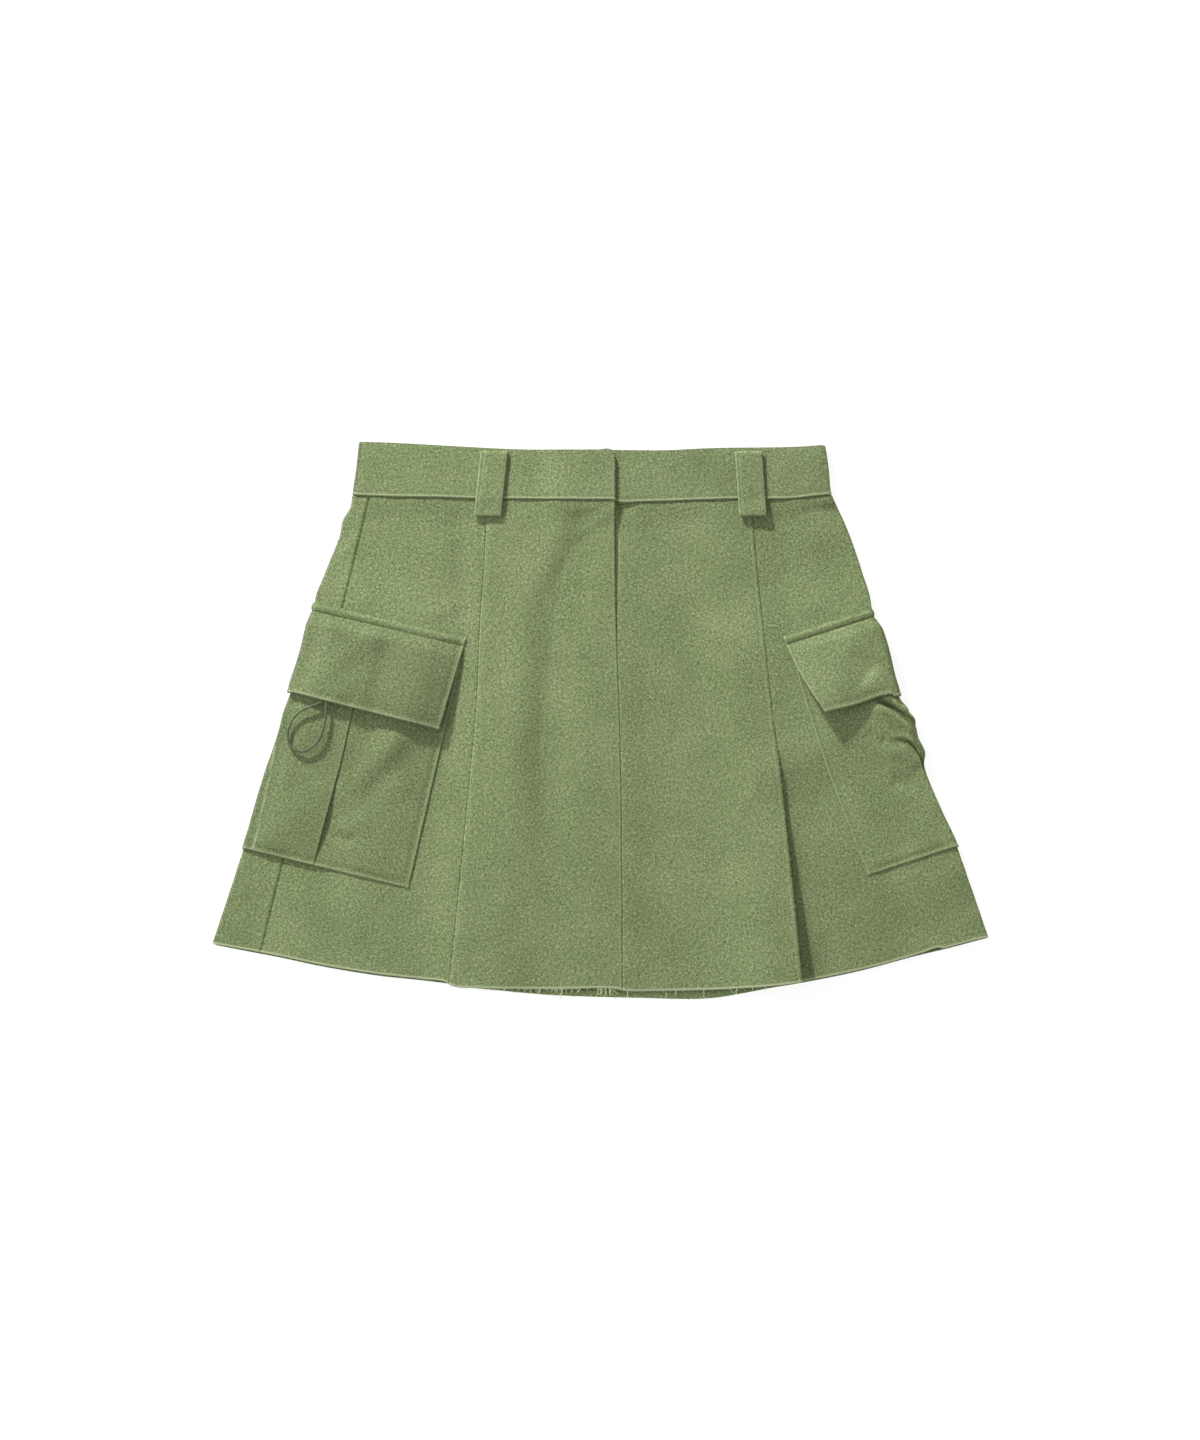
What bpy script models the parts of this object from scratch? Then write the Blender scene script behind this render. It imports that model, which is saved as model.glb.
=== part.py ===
"""A cargo utility skirt, laid flat on its back.

The surface that it lies on is z = 0. The front faces +Z, +Y runs from the hem to the waistband,
and left and right are those of someone who looks down on the front. Every size below is in
millimetres, and closed_wall() and cord() turn them into metres.

Each piece is a wall of cloth. It is made from rows of points on its middle surface, which run
across the skirt, one row below the other. The front lies on the back, and each layer on the
front is made from the points of what carries it, moved out.
"""

import math
from collections import namedtuple

import bpy
from mathutils import Vector

MM = 0.001

# Walls, and the space between them.
CLOTH = 1.0  # one layer of twill
BAND = 2.4  # the waistband, folded double
FLAP = 2.0  # a pocket flap, cut double
LOOP = 1.6  # a belt loop, folded
GAP = 0.3  # between pieces that touch
STEP = CLOTH + GAP  # from one layer's middle to the next

# The two folds at the sides, the waist seam and the hem.
Outline = namedtuple("Outline", "y left right")
OUTLINE = [
    Outline(206, -179.0, 165.6),
    Outline(186, -181.0, 168.5),
    Outline(167, -183.2, 170.8),
    Outline(156, -187.2, 175.4),
    Outline(147, -191.6, 179.8),
    Outline(126, -197.6, 188.2),
    Outline(104, -205.8, 195.6),
    Outline(84, -210.2, 199.6),
    Outline(52, -219.0, 209.4),
    Outline(20, -227.6, 217.6),
    Outline(-8, -236.6, 228.4),
    Outline(-40, -247.0, 238.6),
    Outline(-90, -262.4, 261.0),
    Outline(-118, -271.8, 272.6),
    Outline(-164, -287.2, 288.0),
]
Level = namedtuple("Level", "x y")
BAND_TOP = [
    Level(-182, 206.3),
    Level(-152, 205.2),
    Level(-108, 202.8),
    Level(-63, 200.6),
    Level(0, 200.2),
    Level(48, 199.8),
    Level(81, 201.3),
    Level(148, 202.2),
    Level(170, 203.8),
]
WAIST_SEAM = [
    Level(-184, 167.2),
    Level(-93, 164.3),
    Level(0, 162.6),
    Level(50, 162.6),
    Level(100, 164.3),
    Level(172, 168.7),
]
FRONT_HEM = [
    Level(-287, -162.5),
    Level(-282, -167.5),
    Level(-252, -173.2),
    Level(-208, -182.0),
    Level(-163, -188.7),
    Level(-116, -196.2),
    Level(-45, -198.3),
    Level(44, -199.8),
    Level(96, -198.3),
    Level(149, -193.9),
    Level(192, -185.0),
    Level(236, -174.0),
    Level(282, -162.4),
    Level(287, -158.5),
]
BACK_HEM = [
    Level(-287, -162.5),
    Level(-282, -167.5),
    Level(-208, -181.4),
    Level(-119, -194.0),
    Level(-78, -199.8),
    Level(-41, -203.4),
    Level(26, -206.0),
    Level(81, -206.2),
    Level(103, -202.8),
    Level(126, -198.2),
    Level(192, -184.4),
    Level(282, -162.4),
    Level(287, -158.5),
]

# The seams that run down the skirt.
Seams = namedtuple("Seams", "y side_left pleat_left centre pleat_right side_right_under")
SEAMS = [
    Seams(170, -169.8, -84.0, 11.5, 112.0, 26),
    Seams(148, -175.2, -84.2, 11.8, 112.8, 26),
    Seams(107, -185.0, -86.2, 12.2, 116.2, 24),
    Seams(72, -193.5, -88.8, 12.6, 119.8, 22),
    Seams(12, -207.8, -90.6, 13.2, 126.2, 19),
    Seams(-44, -221.0, -95.2, 14.0, 133.6, 15),
    Seams(-104, -235.0, -101.8, 14.8, 141.2, 11),
    Seams(-200, -258.4, -112.0, 15.9, 149.8, 6),
]

# How the panels lie.
BACK_TO_FRONT = 1.0  # room between the back and the front where nothing lifts the front
LEAST_ROOM = 0.2  # and at the bottom of a trough
SIDE_FOLD_ROOM = 1.6  # and at the two side folds
SIDE_ZONE = 40  # how far in from a side fold that room is felt
WAIST_ZONE = 20  # how far below the waist seam the front lies still
UNDERLAP = 16  # what a lower panel reaches under a folded edge
RETURN = 12  # the turned-in edge of a centre panel
DRAPE = 20  # how far an upper panel takes to come down again
LAP_MARGIN = 2  # how far past the lower panel it stays up
BEND = STEP / 2  # radius of a folded edge
FLY_UNDERLAP, SEAM_UNDERLAP = 30, 18  # behind the fly, and behind the seam below it
FLY_END, FLY_TAPER = 36, 16
PLEAT_OPENS, PLEAT_RISE, PLEAT_ZONE = -30, 3.4, 45  # the right pleat stands open at the hem
PLEAT_HEM = -194
SEAM_HALF_GAP = 0.2
PANEL_ROWS = 18

# Soft folds of the front: ridges where the rise is positive, and troughs where it isn't.
FOLD_FADE = 0.15  # a fold fades out over this share of its length, past either end
Fold = namedtuple("Fold", "x_top y_top x_low y_low width rise")
FRONT_FOLDS = [
    Fold(-38, 110, -49, -20, 15, -0.8),
    Fold(-50, -60, -38, -190, 16, -0.8),
    Fold(-64, 90, -72, -190, 15, 1.1),
    Fold(-24, 60, -14, -195, 16, 1.3),
    Fold(-113, 150, -106, 85, 12, -0.7),
    Fold(-134, 150, -128, 80, 18, 1.0),
    Fold(-196, 138, -162, 118, 9, 1.2),
    Fold(-150, -60, -172, -190, 24, 1.0),
    Fold(-212, -110, -228, -180, 20, 1.2),
    Fold(52, 130, 66, -198, 26, 1.2),
    Fold(88, 60, 104, -120, 18, -0.6),
    Fold(150, 150, 156, 84, 18, 1.0),
    Fold(172, 146, 190, 100, 10, 0.9),
    Fold(176, -40, 196, -184, 22, 1.1),
    Fold(232, -100, 250, -170, 16, 1.2),
]

# Cargo pockets and their flaps. Each goes round its side fold and ends underneath.
Patch = namedtuple(
    "Patch",
    "side x_top y_top x_low y_low bow fold_y_top fold_y_low under",
)
PATCHES = {
    "pocket_left": Patch(-1, -103.4, 44.0, -142.4, -124.3, 0, 68.0, -95.2, 70),
    "pocket_right": Patch(1, 142.5, 44.0, 198.3, -114.7, -3, 63.0, -93.8, 96),
    "pocket_flap_left": Patch(-1, -99.5, 60.7, -119.5, -6.7, 0, 86.6, 20.4, 68),
    "pocket_flap_right": Patch(1, 135.1, 61.4, 166.9, 6.7, -2.5, 82.0, 17.6, 92),
}
UNDER_SLOPE = 0.375  # how a pocket's edges fall away from the side fold underneath
POCKET_CLEAR = 0.5  # between a pocket and the skirt, and between a flap and its pocket
POCKET_BULGE = 1.5
UNDER_MARGIN, UNDER_DRAPE = 14, 34
BOX_FOLD_TOP, BOX_FOLD_LOW = -176.5, -213.2  # the left pocket's pleat
BOX_DEPTH = 7  # how far the pleat's cloth reaches under it
BOX_LIFT = 2 * STEP
BOX_SLOPE = 16  # near the side fold the pleat comes down
POCKET_ROWS = 11
FLAP_LENGTH = 70
FLAP_BAND = 6  # the sewn band along a flap's top
FLAP_OVER_POCKET = 17  # where the flap has risen over the pocket's mouth
FLAP_RISE = {-1: 7.0, 1: 5.5}  # how far a flap's lower edge stands off its pocket
FLAP_FLAT_ZONE = 46  # near the side fold the flap comes down to it
FLAP_PAST_BOX, FLAP_OFF_BOX = 4, 12  # where the flap starts to leave the pleat, and by when
FLAP_ROWS = 9

# Waistband and belt loops.
BAND_END = 11.6  # the upper end, at centre front
BAND_UNDER_END = -22  # the lower end, beneath it
BAND_ROOM = 1.3  # between the front and the back of the waistband
BAND_DRAPE = 24
BAND_MARGIN = 3
BAND_MIDDLE = 186
BAND_ROWS = 3
Loop = namedtuple("Loop", "x_top x_low")
LOOPS = {"belt_loop_left": Loop(-78.6, -83.6), "belt_loop_right": Loop(109.4, 112.8)}
LOOP_WIDTH, LOOP_TOP, LOOP_LOW = 19.5, 198.3, 151.0
LOOP_TURN = 8.0  # what is turned under at each end
LOOP_ROWS = 3

# The elastic cord, whose ends are sewn under the left flap.
CORD_RADIUS = 0.9
CORD_POINTS = 56
Spot = namedtuple("Spot", "x y z")
CORD_ROUTE = [
    Spot(-203.8, 24.0, 14.3),
    Spot(-204.4, 18.0, 14.4),
    Spot(-206.4, 12.6, 14.6),
    Spot(-210.8, 9.6, 15.0),
    Spot(-218.0, 7.0, 14.9),
    Spot(-224.6, 3.4, 14.2),
    Spot(-229.2, -2.0, 13.0),
    Spot(-231.4, -8.4, 11.8),
    Spot(-230.4, -15.0, 11.0),
    Spot(-227.2, -20.4, 11.1),
    Spot(-221.8, -22.8, 11.8),
    Spot(-216.0, -21.2, 12.4),
    Spot(-210.6, -16.6, 13.2),
    Spot(-206.4, -10.0, 14.2),
    Spot(-203.4, -2.6, 15.1),
    Spot(-201.6, 4.8, 15.5),
    Spot(-200.6, 12.0, 15.3),
    Spot(-200.4, 18.0, 15.1),
    Spot(-200.2, 24.0, 14.8),
]

Finish = namedtuple("Finish", "red green blue roughness")
TWILL = Finish(0.235, 0.290, 0.140, 0.92)
TWILL_DOUBLE = Finish(0.225, 0.280, 0.132, 0.92)
ELASTIC = Finish(0.120, 0.145, 0.085, 0.75)


def smooth(t):
    t = min(max(t, 0.0), 1.0)
    return t * t * (3 - 2 * t)


def mix(a, b, t):
    return a + (b - a) * t


def spread(first, last, count):
    return [mix(first, last, i / (count - 1)) for i in range(count)]


def fall(distance, width):
    """1 up to a distance of 0, and 0 from the width on."""
    return 1 - smooth(distance / width)


def line(rows, along, across):
    """A smooth line through one column of a table, as a function of another."""
    points = sorted((getattr(row, along), getattr(row, across)) for row in rows)
    steps = [(b[1] - a[1]) / (b[0] - a[0]) for a, b in zip(points, points[1:])]
    slopes = [steps[0]] + [(a + b) / 2 for a, b in zip(steps, steps[1:])] + [steps[-1]]

    def at(t):
        t = min(max(t, points[0][0]), points[-1][0])
        i = max(k for k in range(len(points) - 1) if points[k][0] <= t)
        (t0, v0), (t1, v1) = points[i], points[i + 1]
        w = t1 - t0
        s = (t - t0) / w
        return (
            v0 * (1 + 2 * s) * (1 - s) ** 2
            + slopes[i] * w * s * (1 - s) ** 2
            + v1 * s * s * (3 - 2 * s)
            + slopes[i + 1] * w * s * s * (s - 1)
        )

    return at


edge = {-1: line(OUTLINE, "y", "left"), 1: line(OUTLINE, "y", "right")}
band_top = line(BAND_TOP, "x", "y")
waist_seam = line(WAIST_SEAM, "x", "y")
front_hem = line(FRONT_HEM, "x", "y")
back_hem = line(BACK_HEM, "x", "y")
side_left = line(SEAMS, "y", "side_left")
pleat_left = line(SEAMS, "y", "pleat_left")
centre = line(SEAMS, "y", "centre")
pleat_right = line(SEAMS, "y", "pleat_right")
side_right_under = line(SEAMS, "y", "side_right_under")


# --- How high each layer lies: the middle of its wall, at x and y ---


def outside_patch(patch, x, y):
    """How far a point lies outside a patch's part under the skirt."""
    fold_top = Vector((edge[patch.side](patch.fold_y_top), patch.fold_y_top))
    fold_low = Vector((edge[patch.side](patch.fold_y_low), patch.fold_y_low))
    inward = Vector((-patch.side, -UNDER_SLOPE)).normalized()
    down = (fold_low - fold_top).normalized()
    point = Vector((x, y)) - fold_top
    across = inward.x * down.y - inward.y * down.x
    reach = (point.x * down.y - point.y * down.x) / across
    drop = (inward.x * point.y - inward.y * point.x) / across
    length = (fold_low - fold_top).length
    return max(reach - patch.under, -drop, drop - length)


def under_lift(name, x, y):
    return fall(outside_patch(PATCHES[name], x, y) - UNDER_MARGIN, UNDER_DRAPE)


def flap_under_lift(x, y):
    side = "left" if x < 0 else "right"
    return (FLAP + GAP) * under_lift("pocket_flap_" + side, x, y)


def pocket_under_lift(x, y):
    side = "left" if x < 0 else "right"
    return (CLOTH + POCKET_CLEAR) * under_lift("pocket_" + side, x, y)


def back_level(x, y):
    return CLOTH / 2 + flap_under_lift(x, y) + pocket_under_lift(x, y)


def fold_rise(x, y):
    """The soft folds of the front."""
    total = 0.0
    for fold in FRONT_FOLDS:
        start = Vector((fold.x_top, fold.y_top))
        run = Vector((fold.x_low, fold.y_low)) - start
        offset = Vector((x, y)) - start
        along = offset.dot(run) / run.length_squared
        across = abs(offset.x * run.y - offset.y * run.x) / run.length
        ends = fall(-along, FOLD_FADE) * fall(along - 1, FOLD_FADE)
        total += fold.rise * ends * math.exp(-((across / fold.width) ** 2))
    return total


def room(x, y):
    """The space between the back and the front."""
    inward = min(x - edge[-1](y), edge[1](y) - x)
    at_side = fall(inward, SIDE_ZONE)
    at_seam = max(
        fall(abs(x - seam(y)) - UNDERLAP, DRAPE) for seam in (pleat_left, pleat_right)
    )
    at_fly = fall(centre(y) - FLY_UNDERLAP - x, DRAPE) * fall(x - centre(y), DRAPE)
    at_top = fall(waist_seam(x) - y, WAIST_ZONE)
    still = (1 - at_side) * (1 - at_seam) * (1 - at_fly) * (1 - at_top)
    found = mix(BACK_TO_FRONT, SIDE_FOLD_ROOM, at_side) + still * fold_rise(x, y)
    return max(found, LEAST_ROOM)


def front_level(x, y):
    return back_level(x, y) + STEP + room(x, y)


def behind_centre(y):
    """What the right centre panel reaches under the left one."""
    return mix(SEAM_UNDERLAP, FLY_UNDERLAP, smooth((y - FLY_END) / FLY_TAPER))


def centre_left_level(x, y):
    from_pleat = x - pleat_left(y) - UNDERLAP - LAP_MARGIN
    from_centre = centre(y) - behind_centre(y) - LAP_MARGIN - x
    return front_level(x, y) + 2 * STEP * max(fall(from_pleat, DRAPE), fall(from_centre, DRAPE))


def pleat_open(x, y):
    """What the right centre panel's edge stands off the side panel."""
    opened = smooth((PLEAT_OPENS - y) / (PLEAT_OPENS - PLEAT_HEM))
    return PLEAT_RISE * opened * fall(pleat_right(y) - RETURN - x, PLEAT_ZONE)


def centre_right_level(x, y):
    from_pleat = pleat_right(y) - UNDERLAP - LAP_MARGIN - x
    return front_level(x, y) + 2 * STEP * fall(from_pleat, DRAPE) + pleat_open(x, y)


# --- Rows of points ---


def arc(x, y, z, radius_x, radius_z, first, last, count):
    """Points round a fold, without the arc's two ends. Angles are in degrees from +X to +Z."""
    angles = [math.radians(a) for a in spread(first, last, count + 2)[1:-1]]
    return [(x + radius_x * math.cos(a), y, z + radius_z * math.sin(a)) for a in angles]


def fold_centre(side, y):
    """Where the side fold of the skirt's own cloth starts to turn, and its radius."""
    x = edge[side](y)
    radius = (front_level(x, y) - back_level(x, y)) / 2
    return x - side * (radius + CLOTH / 2), radius


def at_fold(side, height):
    """The point of a row where it reaches the side fold. height gives a row's y at an x."""
    y = height(edge[side](0))
    for _ in range(5):
        y = height(fold_centre(side, y)[0])
    return fold_centre(side, y)[0], y


def round_side(side, y, over=0.0, out=0.0, under=0.0):
    """A layer's points round a side fold, from the front to the underside, all at one height.

    over, out and under say how far the layer's middle lies off that of the skirt's own cloth.
    """
    x, radius = fold_centre(side, y)
    top = front_level(x, y) + over
    low = back_level(x, y) - under
    first, last = (90, -90) if side > 0 else (90, 270)
    return arc(x, y, (top + low) / 2, radius + out, (top - low) / 2, first, last, 5)


def folded_edge(x, y, z, turn):
    """Points round a panel's folded edge at x, from the upper layer to the lower one.

    turn is 1 where the edge faces right and -1 where it faces left.
    """
    first, last = (90, -90) if turn > 0 else (90, 270)
    return arc(x - turn * BEND, y, z - BEND, BEND, BEND, first, last, 3)


def panel_height(share, top, hem):
    """The y of a row, as a function of x: share is 0 at the top and 1 at the hem."""
    return lambda x: mix(top(x) - SEAM_HALF_GAP, hem(x), share)


def on_seam(seam, height, offset=0.0):
    """The x where a row crosses a seam that is moved sideways by an offset."""
    x = seam(0) + offset
    for _ in range(6):
        x = seam(height(x)) + offset
    return x


def laid(xs, height, level):
    return [(x, height(x), level(x, height(x))) for x in xs]


def back_row(share):
    under = panel_height(share, waist_seam, back_hem)
    over = panel_height(share, waist_seam, front_hem)
    right = on_seam(lambda y: edge[1](y) - side_right_under(y), under, -SEAM_HALF_GAP)
    x_fold, y_fold = at_fold(-1, over)
    seam = on_seam(side_left, over, -SEAM_HALF_GAP)
    row = laid(spread(right, x_fold, 20), under, back_level)
    row += round_side(-1, y_fold)[::-1]
    return row + laid(spread(x_fold, seam, 4), over, front_level)


def front_side_left_row(share):
    height = panel_height(share, waist_seam, front_hem)
    first = on_seam(side_left, height, SEAM_HALF_GAP)
    last = on_seam(pleat_left, height, UNDERLAP)
    return laid(spread(first, last, 13), height, front_level)


def front_centre_left_row(share):
    height = panel_height(share, waist_seam, front_hem)
    left, right = on_seam(pleat_left, height), on_seam(centre, height)

    def lower(x, y):
        return centre_left_level(x, y) - STEP

    row = laid(spread(left + RETURN, left + BEND, 3), height, lower)
    start = centre_left_level(left + BEND, height(left))
    row += folded_edge(left, height(left), start, -1)[::-1]
    row += laid(spread(left + BEND, right - BEND, 15), height, centre_left_level)
    end = centre_left_level(right - BEND, height(right))
    row += folded_edge(right, height(right), end, 1)
    return row + laid(spread(right - BEND, right - RETURN, 3), height, lower)


def front_centre_right_row(share):
    height = panel_height(share, waist_seam, front_hem)
    left = on_seam(centre, height, -behind_centre(height(0)))
    right = on_seam(pleat_right, height)

    def lower(x, y):
        return centre_right_level(x, y) - STEP

    row = laid(spread(left, right - BEND, 16), height, centre_right_level)
    end = centre_right_level(right - BEND, height(right))
    row += folded_edge(right, height(right), end, 1)
    return row + laid(spread(right - BEND, right - RETURN, 3), height, lower)


def front_side_right_row(share):
    under = panel_height(share, waist_seam, back_hem)
    over = panel_height(share, waist_seam, front_hem)
    first = on_seam(pleat_right, over, -UNDERLAP)
    x_fold, y_fold = at_fold(1, over)
    seam = on_seam(lambda y: edge[1](y) - side_right_under(y), under, SEAM_HALF_GAP)
    row = laid(spread(first, x_fold, 12), over, front_level)
    row += round_side(1, y_fold)
    return row + laid(spread(x_fold, seam, 3), under, back_level)


def band_row(share):
    """Once round the waist, from the upper end at centre front to the one beneath it."""

    def height(x):
        return mix(band_top(x), waist_seam(x) + SEAM_HALF_GAP, share)

    low = BAND / 2
    high = low + BAND + BAND_ROOM
    radius = (high - low) / 2

    def turn(side):
        x = edge[side](height(edge[side](BAND_MIDDLE))) - side * (radius + BAND / 2)
        return x, height(x)

    def front(x, y):
        return high + (BAND + GAP) * fall(BAND_UNDER_END - BAND_MARGIN - x, BAND_DRAPE)

    left, y_left = turn(-1)
    right, y_right = turn(1)
    row = laid(spread(BAND_END, BAND_UNDER_END - BAND_MARGIN, 4), height, front)
    row += laid(spread(BAND_UNDER_END - 3 * BAND_MARGIN, left, 11), height, front)
    row += arc(left, y_left, (low + high) / 2, radius, radius, 90, 270, 5)
    row += laid(spread(left, right, 12), height, lambda x, y: low)
    row += arc(right, y_right, (low + high) / 2, radius, radius, -90, 90, 5)
    return row + laid(spread(right, BAND_UNDER_END, 12), height, lambda x, y: high)


# --- Pockets and flaps ---


def patch_line(patch, share):
    """One row of a patch: its inner end, the side fold, and its y on the front and underneath."""
    y_fold = mix(patch.fold_y_top, patch.fold_y_low, share)
    x_fold = fold_centre(patch.side, y_fold)[0]
    x_inner = mix(patch.x_top, patch.x_low, share) + patch.bow * math.sin(math.pi * share)
    y_inner = mix(patch.y_top, patch.y_low, share)

    def over(x):
        return mix(y_fold, y_inner, (x - x_fold) / (x_inner - x_fold))

    def under(x):
        return y_fold - UNDER_SLOPE * abs(x - x_fold)

    return x_inner, x_fold, y_fold, over, under


def pocket_level(patch, share, x, y):
    """The middle of a pocket's lowest layer."""
    x_inner, x_fold = patch_line(patch, share)[:2]
    across = (x - x_inner) / (x_fold - x_inner)
    bulge = math.sin(math.pi * across) * math.sin(math.pi * mix(0.2, 1, share))
    return front_level(x, y) + CLOTH + POCKET_CLEAR + POCKET_BULGE * max(bulge, 0)


def box_level(patch, share, x, y):
    """The middle of the left pocket's pleat, where it lies on top."""
    x_fold = patch_line(patch, share)[1]
    return pocket_level(patch, share, x, y) + BOX_LIFT * smooth((x - x_fold) / BOX_SLOPE)


def box_fold(share):
    return mix(BOX_FOLD_TOP, BOX_FOLD_LOW, share)


def pocket_sides(patch, y_fold):
    """The pocket's points round the side fold."""
    clear = CLOTH + POCKET_CLEAR
    return round_side(patch.side, y_fold, over=clear, out=clear, under=clear)


def pocket_under_row(patch, x_fold, under):
    last = x_fold - patch.side * patch.under / math.hypot(1, UNDER_SLOPE)
    clear = CLOTH + POCKET_CLEAR
    return laid(spread(x_fold, last, 6), under, lambda x, y: back_level(x, y) - clear)


def pocket_row(patch, share):
    x_inner, x_fold, y_fold, over, under = patch_line(patch, share)
    row = laid(spread(x_inner, x_fold, 10), over, lambda x, y: pocket_level(patch, share, x, y))
    return row + pocket_sides(patch, y_fold) + pocket_under_row(patch, x_fold, under)


def box_pleat_row(patch, share):
    """A pocket row whose outer half is a pleat, laid on top of the inner half."""
    x_inner, x_fold, y_fold, over, under = patch_line(patch, share)
    x_pleat = box_fold(share)
    x_turn, x_back = x_pleat - BOX_DEPTH + BEND, x_pleat - BEND
    x_box_end = x_fold + BOX_SLOPE

    def level(x, y):
        return pocket_level(patch, share, x, y)

    def box(x, y):
        return box_level(patch, share, x, y)

    def turn(x, z, first, last):
        return arc(x, over(x), z + BEND, BEND, BEND, first, last, 3)

    row = laid(spread(x_inner, x_pleat + 4, 5), over, level)
    row += laid(spread(x_pleat - 1, x_turn, 2), over, level)
    row += turn(x_turn, level(x_turn, over(x_turn)), 270, 90)
    row += laid(spread(x_turn, x_back, 3), over, lambda x, y: level(x, y) + STEP)
    row += turn(x_back, level(x_back, over(x_back)) + STEP, -90, 90)
    row += laid(spread(x_back, x_box_end, 5), over, box)
    row += laid(spread(x_box_end, x_fold, 5)[1:], over, box)
    return row + pocket_sides(patch, y_fold) + pocket_under_row(patch, x_fold, under)


def flap_row(patch, share):
    """A flap row: sewn to the skirt at the top, then over the pocket and standing off it."""
    x_inner, x_fold, y_fold, over, under = patch_line(patch, share)
    down = share * FLAP_LENGTH
    on_cloth = (CLOTH + FLAP) / 2 + GAP
    pocket = PATCHES["pocket_left" if patch.side < 0 else "pocket_right"]
    pocket_drop = pocket.fold_y_top - pocket.fold_y_low
    over_pocket = smooth((down - FLAP_BAND) / (FLAP_OVER_POCKET - FLAP_BAND))
    rise = FLAP_RISE[patch.side] * smooth((down - FLAP_BAND) / (FLAP_LENGTH - FLAP_BAND))

    def level(x, y):
        y_under = patch_line(pocket, 0)[3](x)
        pocket_share = min(max((y_under - y) / pocket_drop, 0), 1)
        if patch.side < 0:
            on_box = fall(x - box_fold(pocket_share) - FLAP_PAST_BOX, FLAP_OFF_BOX)
            top = pocket_level(pocket, pocket_share, x, y)
            top += on_box * (box_level(pocket, pocket_share, x, y) - top)
        else:
            top = pocket_level(pocket, pocket_share, x, y)
        carried = mix(front_level(x, y) + on_cloth, top + on_cloth + POCKET_CLEAR, over_pocket)
        return carried + rise * (1 - fall(abs(x - x_fold), FLAP_FLAT_ZONE))

    out = CLOTH + POCKET_CLEAR + on_cloth + POCKET_CLEAR
    over_at_fold = mix(on_cloth, out, over_pocket)
    to_floor = back_level(x_fold, y_fold) - FLAP / 2
    row = laid(spread(x_inner, x_fold, 12), over, level)
    row += round_side(patch.side, y_fold, over=over_at_fold, out=out, under=to_floor)
    last = x_fold - patch.side * patch.under / math.hypot(1, UNDER_SLOPE)
    return row + laid(spread(x_fold, last, 5), under, lambda x, y: FLAP / 2)


def loop_row(loop, share):
    """One line down a belt loop, with both its ends turned under."""
    base = BAND / 2 + BAND + BAND_ROOM + BAND / 2 + GAP
    low, high = base + LOOP / 2, base + LOOP / 2 + LOOP + GAP
    radius = (high - low) / 2
    sideways = mix(-LOOP_WIDTH / 2, LOOP_WIDTH / 2, share)

    def x_at(y):
        return mix(loop.x_low, loop.x_top, (y - LOOP_LOW) / (LOOP_TOP - LOOP_LOW)) + sideways

    def end(y, first, last):
        turn = arc(y, 0, (low + high) / 2, radius, radius, first, last, 3)
        return [(x_at(y), along, z) for along, _, z in turn]

    top, bottom = LOOP_TOP - radius, LOOP_LOW + radius
    row = [(x_at(y), y, low) for y in spread(top - LOOP_TURN, top, 2)]
    row += end(top, -90, 90)
    row += [(x_at(y), y, high) for y in spread(top, bottom, 6)]
    row += end(bottom, 90, 270)
    return row + [(x_at(y), y, low) for y in spread(bottom, bottom + LOOP_TURN, 2)]


# --- Objects ---


def material(name, finish):
    made = bpy.data.materials.new(name)
    made.use_nodes = True
    shader = made.node_tree.nodes["Principled BSDF"]
    shader.inputs["Base Color"].default_value = (finish.red, finish.green, finish.blue, 1)
    shader.inputs["Roughness"].default_value = finish.roughness
    shader.inputs["Metallic"].default_value = 0.0
    return made


def unit_steps(points):
    """The direction along a line of points at each of them, and what a mitre adds there."""
    steps = [(b - a).normalized() for a, b in zip(points, points[1:])]
    pairs = zip([steps[0]] + steps, steps + [steps[-1]])
    found = []
    for before, after in pairs:
        along = (before + after).normalized()
        found.append((along, 1 / max(along.dot(after), 0.6)))
    return found


def closed_wall(name, rows, wall, finish):
    """One closed body: the rows' points moved out by half the wall to either side."""
    grid = [[Vector(point) for point in row] for row in rows]
    across = [unit_steps(row) for row in grid]
    down = [unit_steps(list(column)) for column in zip(*grid)]
    count, width = len(grid), len(grid[0])
    upper, lower = [], []
    for i in range(count):
        for j in range(width):
            along, mitre = across[i][j]
            normal = along.cross(down[j][i][0]).normalized()
            shift = normal * (wall / 2 * mitre)
            upper.append((grid[i][j] + shift) * MM)
            lower.append((grid[i][j] - shift) * MM)
    faces = []
    back = count * width
    for i in range(count - 1):
        for j in range(width - 1):
            a, b = i * width + j, i * width + j + 1
            c, d = b + width, a + width
            faces += [(a, b, c, d), (d + back, c + back, b + back, a + back)]
    rim = [j for j in range(width)]
    rim += [i * width + width - 1 for i in range(1, count)]
    rim += [(count - 1) * width + j for j in range(width - 2, -1, -1)]
    rim += [i * width for i in range(count - 2, 0, -1)]
    for a, b in zip(rim, rim[1:] + rim[:1]):
        faces.append((b, a, a + back, b + back))
    mesh = bpy.data.meshes.new(name)
    mesh.from_pydata(upper + lower, [], faces)
    solid = bpy.data.objects.new(name, mesh)
    bpy.context.scene.collection.objects.link(solid)
    face_out(solid)
    mesh.materials.append(material(name, finish))
    mesh.shade_smooth()
    mesh.set_sharp_from_angle(angle=math.radians(50))
    return solid


def face_out(solid):
    """Turns the faces round where the body would be inside out."""
    mesh = solid.data
    mesh.calc_loop_triangles()
    volume = 0.0
    for triangle in mesh.loop_triangles:
        a, b, c = (mesh.vertices[i].co for i in triangle.vertices)
        volume += a.dot(b.cross(c))
    if volume < 0:
        mesh.flip_normals()


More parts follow.
